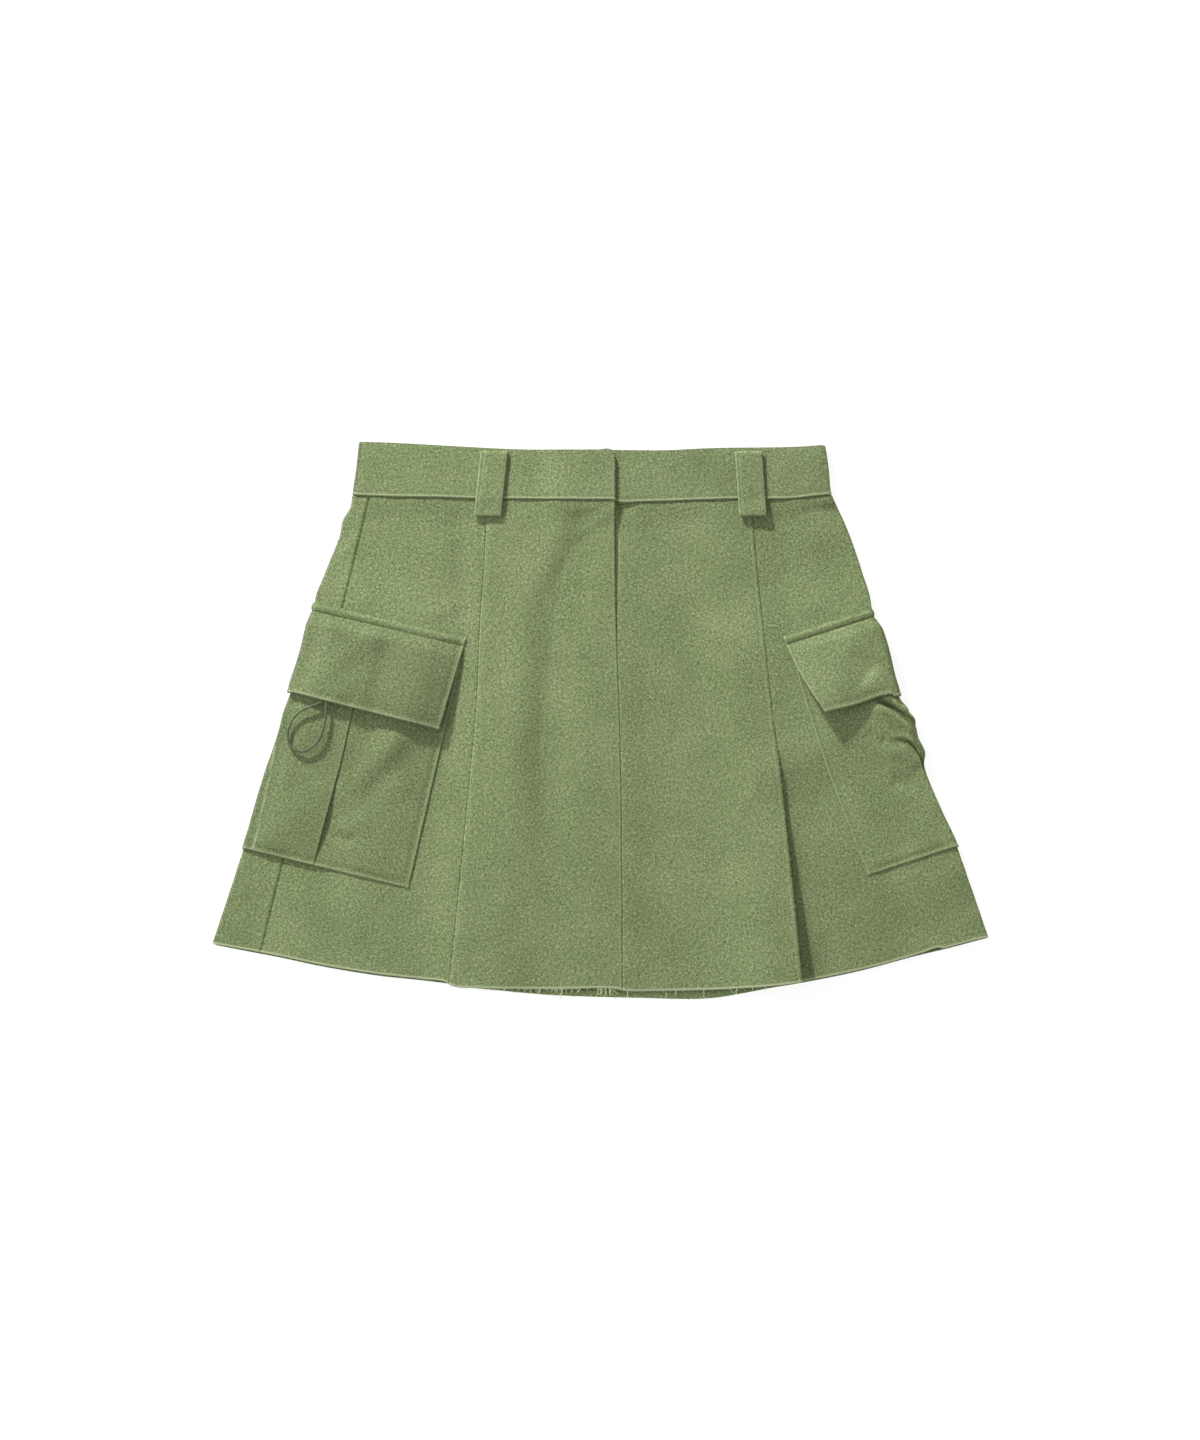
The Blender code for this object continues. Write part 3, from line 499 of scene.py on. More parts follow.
PIXEL = 0.74  # what a pixel of the 1200 x 1440 picture spans at the skirt
PICTURE_HEIGHT, LENS, SENSOR = 1440, 100.0, 36.0
CAMERA_ASIDE, CAMERA_LEVEL = -0.37, 6
KEY_HEIGHT, KEY_HEADING = 22, 27  # degrees above the floor, and from -Y towards +X
KEY_FAR, KEY_SIZE, KEY_SHARE = 3.2, 0.27, 0.45  # metres, and how much of the light it gives
SIDE_PLACE, SIDE_SIZE, SIDE_SHARE = (-1.6, 0.15, 0.9), 1.2, 0.13
FILL = 0.40
FLOOR_HALF, FLOOR_TOP, FLOOR_GREY, FLOOR_GLOW = 4.0, -0.0004, 0.30, 0.86

STITCH_LENGTH, STITCH_PITCH, STITCH_FIRST = 2.5, 3.3, 0.4
STITCH_RADIUS, STITCH_SUNK = 0.2, 0.06
STITCH_POINT, STITCH_FLAT, STITCH_RAISED = 0.2, 0.9, 0.4  # its shape, and how far it stands out
BAND_STITCH_AT = 2.9
FLY_STITCH_POINTS, FLY_STITCH_SUNK = 60, 0.12
FRAY_PITCH, FRAY_SPREAD, FRAY_LEAN = 0.8, 0.2, 0.5  # spread and lean are random, about so much
FRAY_LEAST, FRAY_LONGER, FRAY_RADII = 0.3, 0.4, (0.13, 0.22)
RAGGED = table("x width more", (-34, 42, 0.8), (3, 8, 1.3))  # where the fly's panel is most frayed
RAGGED_SHARE, RAGGED_LONGER, RAGGED_THICKER = 0.75, 1.5, 0.32
THREAD_JOINTS, THREAD_TIP, THREAD_LOWEST = 5, 0.45, 0.25
THREAD_CURL, THREAD_KINK, THREAD_SINK = 0.28, 0.10, 0.6  # shares of its length
SINK_LENGTH = 2  # no more of its length than this counts for how far it sinks
LOOSE_THREADS = table(
    "x y lean long",
    (-2.5, -199.3, 0.4, 4.6),
    (1.5, -199.3, -0.3, 4.6),
    (4.2, -199.3, 0.3, 4.8),
    (8.6, -199.3, 0.5, 5.2),
    (20, -200.6, 0.1, 5.6),
    (48.5, -200.9, 0.1, 5.6),
    (56, -200.8, 0.05, 5.4),
    (76, -200.0, 0.5, 6.0),
    (95.5, -199.0, 0.6, 4.6),
    (101, -198.7, -0.5, 4.6),
    (112, -197.7, 0.5, 4.4),
    (122, -196.8, 0.3, 4.0),
)
LOOSE_RADIUS, LOOSE_SEED, FRAY_SEED = 0.42, 77, 41


def smooth(t):
    t = np.clip(t, 0.0, 1.0)
    return t * t * (3 - 2 * t)


def mix(a, b, t):
    return a + (b - a) * t


def fall(distance, width):
    """1 up to a distance of 0, and 0 from the width on."""
    return 1 - smooth(distance / width)


def bump(distance, width):
    return np.exp(-((distance / width) ** 2))


def either(a, b):
    return 1 - (1 - a) * (1 - b)


def line(rows, along, across):
    """A smooth line through one column of a table, as a function of another."""
    points = sorted((getattr(row, along), getattr(row, across)) for row in rows)
    at, value = np.array(points, float).T
    steps = np.diff(value) / np.diff(at)
    slopes = np.concatenate([steps[:1], (steps[:-1] + steps[1:]) / 2, steps[-1:]])

    def read(t):
        t = np.clip(np.asarray(t, float), at[0], at[-1])
        i = np.clip(np.searchsorted(at, t, "right") - 1, 0, len(at) - 2)
        w = at[i + 1] - at[i]
        s = (t - at[i]) / w
        return (
            value[i] * (1 + 2 * s) * (1 - s) ** 2
            + slopes[i] * w * s * (1 - s) ** 2
            + value[i + 1] * s * s * (3 - 2 * s)
            + slopes[i + 1] * w * s * s * (s - 1)
        )

    return read


edge = {-1: line(OUTLINE, "y", "left"), 1: line(OUTLINE, "y", "right")}
band_top = line(BAND_TOP, "x", "y")
waist_seam = line(WAIST_SEAM, "x", "y")
front_hem = line(FRONT_HEM, "x", "y")
back_hem = line(BACK_HEM, "x", "y")
side_left = line(SEAMS, "y", "side_left")
pleat_left = line(SEAMS, "y", "pleat_left")
centre = line(SEAMS, "y", "centre")
pleat_right = line(SEAMS, "y", "pleat_right")
side_right_under = line(SEAMS, "y", "side_right_under")
pleat_opening = line(PLEAT_OPENING, "y", "rise")
box_fold = line(BOX_FOLD, "share", "x")


def side_right(y):
    return edge[1](y) - side_right_under(y)


# --- Creases and unevenness ---


def curve_through(points, count):
    """Points on a smooth curve through the given ones."""
    route = np.array(points, float)
    guide = np.concatenate([[2 * route[0] - route[1]], route, [2 * route[-1] - route[-2]]])
    place = np.linspace(0, len(route) - 1, count)
    i = np.minimum(place.astype(int), len(route) - 2)
    t = (place - i)[:, None]
    a, b, c, d = (guide[i + k] for k in range(4))
    curved = (2 * a - 5 * b + 4 * c - d) * t * t + (3 * (b - c) + d - a) * t**3
    return (2 * b + (c - a) * t + curved) / 2


def along_line(points, x, y):
    """For each point: its distance to a smooth line, on which side of it, and 1 beside its
    middle, fading to 0 at both its ends."""
    path = curve_through(points, 20)
    total = len(path) - 1
    best = np.full(np.shape(x), np.inf)
    place, side = np.zeros(np.shape(x)), np.zeros(np.shape(x))
    for i, (a, b) in enumerate(zip(path, path[1:])):
        step = b - a
        dx, dy = x - a[0], y - a[1]
        inside = np.clip((dx * step[0] + dy * step[1]) / (step @ step), 0, 1)
        far = np.hypot(dx - inside * step[0], dy - inside * step[1])
        nearer = far < best
        best = np.where(nearer, far, best)
        place = np.where(nearer, (i + inside) / total, place)
        side = np.where(nearer, np.sign(step[0] * dy - step[1] * dx), side)
    return best, side, smooth(place / LINE_FADE) * smooth((1 - place) / LINE_FADE)


def crease_rise(crease, x, y):
    far, side, ends = along_line(crease.points, x, y)
    if crease.kind == "ridge":
        return crease.rise * ends * bump(far, crease.width)
    across = side * far / crease.width
    return -crease.rise * ends * across * np.exp((1 - across**2) / 2)


def creases(node, x, y):
    return sum((crease_rise(c, x, y) for c in CREASES[node]), np.zeros(np.shape(x)))


def ripple(name, x, y):
    wavelength, size, seed = RIPPLES[name]
    chance = np.random.default_rng(seed)
    total = np.zeros(np.broadcast(x, y).shape)
    for _ in range(7):
        turn, phase = chance.uniform(0, 2 * math.pi, 2)
        k = 2 * math.pi / (wavelength * chance.uniform(0.7, 1.5))
        total += np.sin(k * (x * math.cos(turn) + y * math.sin(turn)) + phase)
    return total * size / 2.6


# --- How high each layer lies: the middle of its wall ---


def outside_patch(patch, x, y):
    """How far a point lies outside a patch's part under the skirt."""
    top = np.array([float(edge[patch.side](patch.fold_y_top)), patch.fold_y_top])
    low = np.array([float(edge[patch.side](patch.fold_y_low)), patch.fold_y_low])
    inward = np.array([-patch.side, -UNDER_SLOPE]) / math.hypot(1, UNDER_SLOPE)
    length = math.hypot(*(low - top))
    down = (low - top) / length
    dx, dy = x - top[0], y - top[1]
    across = inward[0] * down[1] - inward[1] * down[0]
    reach = (dx * down[1] - dy * down[0]) / across
    drop = (inward[0] * dy - inward[1] * dx) / across
    return np.maximum(np.maximum(reach - patch.under, -drop), drop - length)


def under_lift(part, x, y):
    outside = [outside_patch(PATCHES[part + side], x, y) for side in ("left", "right")]
    return np.where(x < 0, *[fall(far - UNDER_MARGIN, UNDER_DRAPE) for far in outside])


def back_level(x, y):
    lift = (FLAP + GAP) * under_lift("pocket_flap_", x, y)
    return CLOTH / 2 + lift + (CLOTH + POCKET_CLEAR) * under_lift("pocket_", x, y)


def fold_rise(x, y):
    total = np.zeros(np.shape(x))
    for f in FRONT_FOLDS:
        run = np.array([f.x_low - f.x_top, f.y_low - f.y_top], float)
        dx, dy = x - f.x_top, y - f.y_top
        along = (dx * run[0] + dy * run[1]) / (run @ run)
        across = np.abs(dx * run[1] - dy * run[0]) / math.hypot(*run)
        ends = fall(-along, FOLD_FADE) * fall(along - 1, FOLD_FADE)
        total = total + f.rise * ends * bump(across, f.width)
    return total


def lap(inward, under):
    """1 where a panel lies over its neighbour and close beside that, 0 clear of the seam."""
    beside = fall(-inward - PRESSED, PRESS_FADE)
    return np.where(inward > 0, fall(inward - under - LAP_MARGIN, LAP_DRAPE), beside)


def behind_centre(y):
    return mix(SEAM_UNDERLAP, FLY_UNDERLAP, smooth((y - FLY_END) / FLY_TAPER))


def lap_left(x, y):
    return lap(x - pleat_left(y), UNDERLAP)


def lap_right(x, y):
    return lap(pleat_right(y) - x, UNDERLAP)


def lap_centre(x, y):
    return lap(centre(y) - x, behind_centre(y))


def band_front(x):
    """The middle of the waistband's front layer."""
    over = (BAND + END_GAP) * fall(BAND_UNDER_END - BAND_MARGIN - x, BAND_DRAPE)
    return 3 * BAND / 2 + BAND_ROOM + np.where(x <= BAND_END, over, 0)


def room(x, y):
    """The space between the back and the front."""
    inward = np.minimum(x - edge[-1](y), edge[1](y) - x)
    at_side = fall(inward, SIDE_ZONE)
    at_seam = np.maximum(
        fall(np.abs(x - pleat_left(y)) - UNDERLAP, DRAPE),
        fall(np.abs(x - pleat_right(y)) - UNDERLAP, DRAPE),
    )
    at_fly = fall(centre(y) - FLY_UNDERLAP - x, DRAPE) * fall(x - centre(y), DRAPE)
    at_top = fall(waist_seam(x) - y, WAIST_ZONE)
    still = (1 - at_side) * (1 - at_seam) * (1 - at_fly) * (1 - at_top)
    found = mix(BACK_TO_FRONT, SIDE_FOLD_ROOM, at_side) + still * fold_rise(x, y)
    more = creases("front", x, y) + ripple("front", x, y) * (1 - at_side)
    laps = either(either(lap_left(x, y), lap_right(x, y)), lap_centre(x, y))
    top = band_front(x) + BAND / 2 - BAND_EDGE - WALL / 2
    top = top - 2 * LAP * laps - back_level(x, y) - STEP
    return np.maximum(mix(found + more, top, at_top), LEAST_ROOM)


def front_level(x, y):
    return back_level(x, y) + STEP + room(x, y)


def pressed_up(outward, height):
    """The cloth beside a lap comes up to it, right from the seam."""
    return height * smooth((outward + PAST_SEAM) / PRESS_IN)


def side_left_level(x, y):
    return front_level(x, y) + pressed_up(pleat_left(y) - x, SIDE_PRESS) * lap_left(x, y)


def side_right_level(x, y):
    closed = 1 - smooth((CLOSED_TO - y) / CLOSED_FADE)
    lift = pressed_up(x - pleat_right(y), SIDE_PRESS) * lap_right(x, y) * closed
    return front_level(x, y) + lift


def centre_left_level(x, y):
    laps = either(lap_left(x, y), lap_centre(x, y))
    dip = np.maximum(fall(x - pleat_left(y), EDGE_DIP_ZONE), fall(centre(y) - x, EDGE_DIP_ZONE))
    stands = FLY_STAND * smooth((y - FLY_STAND_FROM) / (FLY_STAND_TO - FLY_STAND_FROM))
    stands = stands * fall(centre(y) - x, FLY_STAND_ZONE)
    stands = stands * smooth((waist_seam(x) - y) / FLY_STAND_BELOW)
    return front_level(x, y) + 2 * LAP * laps + stands - EDGE_DIP * dip


def centre_right_level(x, y):
    opened = pleat_opening(y) * fall(pleat_right(y) - RETURN - x, PLEAT_ZONE)
    press = mix(CENTRE_PRESS, FLY_PRESS, smooth((y - FLY_END) / FLY_PRESS_FADE))
    lift = pressed_up(x - centre(y), press) * lap_centre(x, y)
    dip = EDGE_DIP * fall(pleat_right(y) - x, EDGE_DIP_ZONE)
    inside = np.where(x < pleat_right(y) + 0.01, lap_right(x, y), 1)
    return front_level(x, y) + 2 * LAP * inside + opened + lift - dip


# --- Grids of points ---


def stations(first, last, step, head=(0,), tail=(0,)):
    """Places from first to last: at fixed distances near either end, and even between."""
    first, last = np.broadcast_arrays(np.asarray(first, float), np.asarray(last, float))
    sign = np.sign((last - first).flat[0])
    length = np.abs(last - first).max() - head[-1] - tail[-1]
    count = max(2, math.ceil(length / step) + 1)
    a, b = first + sign * head[-1], last - sign * tail[-1]
    middle = a + (b - a) * np.linspace(0, 1, count)
    before = first + sign * np.array(head[:-1])
    after = last - sign * np.array(tail[:-1])[::-1]
    return np.concatenate([before, middle, after], axis=-1)


def shares(length, step, head, tail):
    """Shares of a piece's length as one column, closer together near its edges."""
    return stations(np.zeros(1), np.full(1, length), step, head, tail)[:, None] / length


def laid(xs, height, level):
    y = height(xs)
    return np.stack([xs, y, level(xs, y)], axis=-1)


def arc(x, y, z, radius_x, radius_z, first, last, count, power=1.0):
    """Points round a fold, without the arc's two ends. A power below 1 makes it squarer."""
    angles = np.radians(np.linspace(first, last, count + 2)[1:-1])
    out, up = np.cos(angles), np.sin(angles)
    far = (np.abs(out) ** (2 / power) + np.abs(up) ** (2 / power)) ** (power / 2)
    out, up = out / far, up / far
    return np.stack(np.broadcast_arrays(x + radius_x * out, y, z + radius_z * up), axis=-1)


HALF_TURN = {-1: (90, 270), 1: (90, -90)}  # round a fold, from its top to its bottom


def fold_centre(side, y):
    x = edge[side](y)
    radius = (front_level(x, y) - back_level(x, y)) / 2
    return x - side * (radius + CLOTH / 2), radius


def at_fold(side, height):
    y = height(edge[side](0) + 0 * height(np.zeros(1)))
    for _ in range(5):
        y = height(fold_centre(side, y)[0])
    return fold_centre(side, y)[0], y


def round_side(side, y, over=0.0, out=0.0, under=0.0, count=FOLD_COLUMNS):
    x, radius = fold_centre(side, y)
    top = front_level(x, y) + over
    low = back_level(x, y) - under
    sizes = radius + out, (top - low) / 2
    return arc(x, y, (top + low) / 2, *sizes, *HALF_TURN[side], count, FOLD_POWER)


def turned_edge(x, height, level, side):
    """A panel's folded edge and what is turned under at it, in the order of the panel's columns."""
    y, x_bend = height(x), x - side * BEND
    z = level(x_bend, y) - BEND
    fold = arc(x_bend, y, z, BEND, BEND, *HALF_TURN[side], BEND_COLUMNS)
    ends = (x_bend, x - side * RETURN)[::side]
    turned = laid(stations(*ends, COARSE), height, lambda x, y: level(x, y) - LAP)
    return fold[:, ::side], turned


def panel_height(share, hem):
    return lambda x: mix(waist_seam(x) - SEAM_HALF_GAP, hem(x), share)


def on_seam(seam, height, offset=0.0):
    x = seam(np.zeros_like(height(np.zeros(1)))) + offset
    for _ in range(6):
        x = seam(height(x)) + offset
    return x


Grid = namedtuple("Grid", "points spans front shown")


def grid(**parts):
    """Parts of a piece's rows, side by side. The front is the part that shows, and the shown
    column is its middle."""
    spans, at = {}, 0
    for name, part in parts.items():
        spans[name] = slice(at, at + part.shape[1])
        at += part.shape[1]
    front = next(spans[name] for name in parts if name.startswith("front"))
    points = np.concatenate(list(parts.values()), axis=1)
    return Grid(points, spans, front, (front.start + front.stop) // 2)


def back_grid(share):
    under, over = panel_height(share, back_hem), panel_height(share, front_hem)
    right = on_seam(side_right, under, -SEAM_HALF_GAP)
    x_fold, y_fold = at_fold(-1, over)
    seam = on_seam(side_left, over, -SEAM_HALF_GAP)
    return grid(
        under=laid(stations(right, x_fold, COARSE, EDGE_STATIONS), under, back_level),
        fold=round_side(-1, y_fold)[:, ::-1],
        front=laid(stations(x_fold, seam, FINE, (0,), EDGE_STATIONS), over, front_level),
    )


def side_left_grid(share):
    height = panel_height(share, front_hem)
    first, seam = on_seam(side_left, height, SEAM_HALF_GAP), on_seam(pleat_left, height)
    shown = stations(first, seam, FINE, EDGE_STATIONS, EDGE_STATIONS)
    hidden = stations(seam + HIDDEN_GAP, on_seam(pleat_left, height, UNDERLAP), COARSE)
    return grid(
        front=laid(shown, height, side_left_level), hidden=laid(hidden, height, side_left_level)
    )


def centre_left_grid(share):
    height = panel_height(share, front_hem)
    left, right = on_seam(pleat_left, height), on_seam(centre, height)
    fold_left, turned_left = turned_edge(left, height, centre_left_level, -1)
    fold_right, turned_right = turned_edge(right, height, centre_left_level, 1)
    top = stations(left + BEND, right - BEND, FINE, EDGE_STATIONS, EDGE_STATIONS)
    return grid(
        turned_left=turned_left,
        fold_left=fold_left,
        front=laid(top, height, centre_left_level),
        fold_right=fold_right,
        turned_right=turned_right,
    )


def centre_right_grid(share):
    height = panel_height(share, front_hem)
    left = on_seam(centre, height, -behind_centre(height(0)))
    seam, right = on_seam(centre, height), on_seam(pleat_right, height)
    fold, turned = turned_edge(right, height, centre_right_level, 1)
    shown = stations(seam - FLY_SHOWN, right - BEND, FINE, EDGE_STATIONS, EDGE_STATIONS)
    hidden = stations(left, seam - FLY_HIDDEN, COARSE)
    return grid(
        hidden=laid(hidden, height, centre_right_level),
        front=laid(shown, height, centre_right_level),
        fold_right=fold,
        turned_right=turned,
    )


def side_right_grid(share):
    under, over = panel_height(share, back_hem), panel_height(share, front_hem)
    first, pleat = on_seam(pleat_right, over, -UNDERLAP), on_seam(pleat_right, over)
    x_fold, y_fold = at_fold(1, over)
    seam = on_seam(side_right, under, SEAM_HALF_GAP)
    return grid(
        hidden=laid(stations(first, pleat - HIDDEN_GAP, COARSE), over, side_right_level),
        front=laid(stations(pleat, x_fold, FINE, EDGE_STATIONS), over, side_right_level),
        fold=round_side(1, y_fold),
        under=laid(stations(x_fold, seam, COARSE, (0,), UNDER_STATIONS), under, back_level),
    )


def band_grid(share):
    """Once round the waist, from the upper end at centre front to the one beneath it."""

    def height(x):
        return mix(band_top(x), waist_seam(x) + SEAM_HALF_GAP, share)

    def upper_height(x):
        return height(x) + BAND_NUB * bump(x - BAND_NUB_AT, BAND_NUB_WIDTH) * (1 - share) ** 4

    low = BAND / 2
    high = low + BAND + BAND_ROOM
    middle, radius = (low + high) / 2, (high - low) / 2

    def turn(side):
        x = edge[side](height(edge[side](BAND_MIDDLE))) - side * (radius + BAND / 2)
        fold = arc(x, height(x), middle, radius, radius, *HALF_TURN[side], BAND_COLUMNS)
        return x, fold[:, ::-side]

    left, fold_left = turn(-1)
    right, fold_right = turn(1)
    end = BAND_END - BAND_CORNER * np.clip(1 - share / CORNER_SHARE, 0, 1) ** CORNER_POWER
    over = stations(end, left, FINE, EDGE_STATIONS)
    under = stations(right, BAND_UNDER_END + 0 * right, FINE)
    return grid(
        front_left=laid(over, upper_height, lambda x, y: band_front(x)),
        fold_left=fold_left,
        back=laid(stations(left, right, COARSE), height, lambda x, y: low + 0 * x),
        fold_right=fold_right,
        front_right=laid(under, height, lambda x, y: high + 0 * x),
    )


def patch_line(patch, share):
    y_fold = mix(patch.fold_y_top, patch.fold_y_low, share)
    x_fold = fold_centre(patch.side, y_fold)[0]
    x_inner = mix(patch.x_top, patch.x_low, share) + patch.bow * np.sin(math.pi * share)
    y_inner = mix(patch.y_top, patch.y_low, share)

    def over(x):
        return mix(y_fold, y_inner, (x - x_fold) / (x_inner - x_fold))

    def under(x):
        return y_fold - UNDER_SLOPE * np.abs(x - x_fold)

    return x_inner, x_fold, y_fold, over, under


def pocket_level(patch, share, x, y):
    x_inner, x_fold = patch_line(patch, share)[:2]
    across = (x - x_inner) / (x_fold - x_inner)
    bulge = np.sin(math.pi * across) * np.sin(math.pi * mix(BULGE_FROM, 1, share))
    low = fall((1 - share) * POCKET_LENGTH, EDGE_PRESS_ZONE)
    pressed = np.maximum(
        fall(np.abs(x - x_inner), EDGE_PRESS_ZONE),
        low * (1 - fall(np.abs(x - x_fold), LOW_PRESS_CLEAR)),
    )
    clear = CLOTH + POCKET_CLEAR - EDGE_PRESS * pressed
    return front_level(x, y) + clear + POCKET_BULGE * np.maximum(bulge, 0)


def box_level(patch, share, x, y):
    out = x - patch_line(patch, share)[1]
    opened = BOX_OPEN * bump(share - BOX_OPEN_AT, BOX_OPEN_REACH)
    lift = 2 * LAP * smooth(out / BOX_SLOPE)
    lift = lift * (1 - BOX_LOW_PRESS * fall((1 - share) * POCKET_LENGTH, BOX_LOW_ZONE))
    opened = opened * smooth((out - BOX_OPEN_FROM) / BOX_OPEN_FADE)
    return pocket_level(patch, share, x, y) + lift + opened


def pocket_sides(patch, y_fold):
    """What goes round the side fold, crumpled on the right."""
    out = clear = CLOTH + POCKET_CLEAR
    count = POCKET_COLUMNS
    if patch.side > 0:
        out = clear + sum(lobe.out * bump(y_fold - lobe.y, lobe.width) for lobe in LOBES)
        count = CRUMPLED_COLUMNS
    return round_side(patch.side, y_fold, clear, out, clear, count)


def patch_under(patch, x_fold, height, level):
    last = x_fold - patch.side * patch.under / math.hypot(1, UNDER_SLOPE)
    return laid(stations(x_fold, last, COARSE, (0,), UNDER_STATIONS), height, level)


def pocket_under_level(x, y):
    return back_level(x, y) - (CLOTH + POCKET_CLEAR)


def pocket_right_grid(share):
    patch = PATCHES["pocket_right"]
    x_inner, x_fold, y_fold, over, under = patch_line(patch, share)
    xs = stations(x_inner, x_fold, CRUMPLED, EDGE_STATIONS)
    return grid(
        front=laid(xs, over, lambda x, y: pocket_level(patch, share, x, y)),
        fold=pocket_sides(patch, y_fold),
        under=patch_under(patch, x_fold, under, pocket_under_level),
    )


def pocket_left_grid(share):
    """The outer half of this pocket is a pleat, laid on top of the inner half."""
    patch = PATCHES["pocket_left"]
    x_inner, x_fold, y_fold, over, under = patch_line(patch, share)
    x_pleat = box_fold(share)
    x_turn, x_back = x_pleat - BOX_DEPTH + BEND, x_pleat - BEND

    def level(x, y):
        return pocket_level(patch, share, x, y)

    def beside(x, y):
        closed = 1 - bump(share - BOX_OPEN_AT, BOX_OPEN_REACH)
        away = fall(x - x_pleat - PRESSED, BOX_PRESS_FADE)
        return level(x, y) + pressed_up(x - x_pleat, BOX_PRESS) * away * closed

    def box(x, y):
        return box_level(patch, share, x, y)

    def turn(x, z, first, last):
        return arc(x, over(x), z + BEND, BEND, BEND, first, last, BEND_COLUMNS)

    def part(level, first, last, *ends):
        return laid(stations(first, last, PLEATED, *ends), over, level)

    return grid(
        front=part(beside, x_inner, x_pleat + BOX_UNDER, EDGE_STATIONS, EDGE_STATIONS),
        tucked=part(level, x_pleat - HIDDEN_GAP, x_turn),
        turn_in=turn(x_turn, level(x_turn, over(x_turn)), 270, 90),
        between=part(lambda x, y: level(x, y) + LAP, x_turn, x_back),
        turn_out=turn(x_back, box(x_back, over(x_back)) - LAP, -90, 90),
        box=part(box, x_back, x_fold, EDGE_STATIONS),
        fold=pocket_sides(patch, y_fold),
        under=patch_under(patch, x_fold, under, pocket_under_level),
    )


def flap_grid(patch, share):
    """A flap is sewn to the skirt at its top, then lies over the pocket and stands off it."""
    x_inner, x_fold, y_fold, straight, under = patch_line(patch, share)
    pocket = POCKETS[patch.side]
    past_band = share * FLAP_LENGTH - FLAP_BAND
    over_pocket = smooth(past_band / (FLAP_OVER_POCKET - FLAP_BAND))
    rise = FLAP_RISE[patch.side] * smooth(past_band / (FLAP_LENGTH - FLAP_BAND))

    def over(x):
        lift = FLAP_HEM_LIFT * bump(x - FLAP_HEM_AT, FLAP_HEM_REACH) * share**3
        return straight(x) + (lift if patch.side > 0 else 0)

    def level(x, y):
        pocket_top = patch_line(pocket, np.zeros(1))[3](x)
        down = np.clip((pocket_top - y) / (pocket.fold_y_top - pocket.fold_y_low), 0, 1)
        top = pocket_level(pocket, down, x, y)
        if patch.side < 0:
            on_box = fall(x - box_fold(down) - FLAP_PAST_BOX, FLAP_OFF_BOX)
            top = top + on_box * (box_level(pocket, down, x, y) - top)
        carried = mix(front_level(x, y) + FLAP_SEWN, top + FLAP_SEWN + POCKET_CLEAR, over_pocket)
        return carried + rise * (1 - fall(np.abs(x - x_fold), FLAP_FLAT_ZONE[patch.side]))

    out = CLOTH + POCKET_CLEAR + FLAP_SEWN + POCKET_CLEAR
    fold = round_side(
        patch.side,
        y_fold,
        over=mix(FLAP_SEWN, out, over_pocket),
        out=mix(FLAP_EAR[patch.side], out, over_pocket),
        under=back_level(x_fold, y_fold) - FLAP / 2,
        count=POCKET_COLUMNS,
    )
    return grid(
        front=laid(stations(x_inner, x_fold, FLAP_STEP, EDGE_STATIONS), over, level),
        fold=fold,
        under=patch_under(patch, x_fold, under, lambda x, y: FLAP / 2 + 0 * x),
    )


def loop_grid(loop, share):
    """Lines down a belt loop, with both its ends turned under."""
    low = BAND / 2 + BAND + BAND_ROOM + BAND / 2 + GAP + LOOP_WALL / 2
    high = low + LOOP_LAYER
    radius = LOOP_LAYER / 2
    sideways = mix(-LOOP_WIDTH / 2, LOOP_WIDTH / 2, share)
    bend_at = float(waist_seam(loop.x_low)) + LOOP_SAG_FROM

    def at(y, z):
        x = mix(loop.x_low, loop.x_top, (y - LOOP_LOW) / (LOOP_TOP - LOOP_LOW)) + sideways
        z = z - loop.sag * smooth((bend_at - y) / LOOP_SAG_FADE)
        return np.stack(np.broadcast_arrays(x, y, z), axis=-1)

    def end(y, first, last):
        angles = np.radians(np.linspace(first, last, BEND_COLUMNS + 2)[1:-1])
        return at(y + radius * np.cos(angles), (low + high) / 2 + radius * np.sin(angles))

    def straight(first, last, step, z):
        return at(stations(np.full(1, first), np.full(1, last), step), z)

    top, bottom = LOOP_TOP - radius, LOOP_LOW + radius
    return grid(
        tucked_top=straight(top - LOOP_TURN, top, LOOP_TUCKED_STEP, low),
        end_top=end(top, -90, 90),
        front=straight(top, bottom, LOOP_STEP, high),
        end_low=end(bottom, 90, 270),
        tucked_low=straight(bottom, bottom + LOOP_TURN, LOOP_TUCKED_STEP, low),
    )


# --- Shells ---


def lengths(points, axis):
    """How far along its line each point lies."""
    steps = np.linalg.norm(np.diff(points, axis=axis), axis=-1)
    start = np.zeros_like(np.take(steps, [0], axis=axis))
    return np.concatenate([start, np.cumsum(steps, axis=axis)], axis=axis)


def unit(vectors):
    return vectors / np.maximum(np.linalg.norm(vectors, axis=-1, keepdims=True), 1e-9)


def grid_normals(points):
    return np.cross(np.gradient(points, axis=1), np.gradient(points, axis=0))


def facing_up(points, shown):
    """Unit normals that face up at the shown column."""
    found = unit(grid_normals(points))
    return found * np.sign(found[:, shown, 2].mean())


def weave_coordinates(points, shown, turn):
    """Where each point is on the flat cloth: its own place on the front, and on from there."""
    run = lengths(points, 1)
    around = np.sign(np.gradient(points[:, :, 0], axis=1)[:, shown].mean())
    u = points[:, shown : shown + 1, 0] + around * (run - run[:, shown : shown + 1])
    v = points[:, :, 1]
    a = math.radians(turn)
    return u * math.cos(a) + v * math.sin(a), v * math.cos(a) - u * math.sin(a)


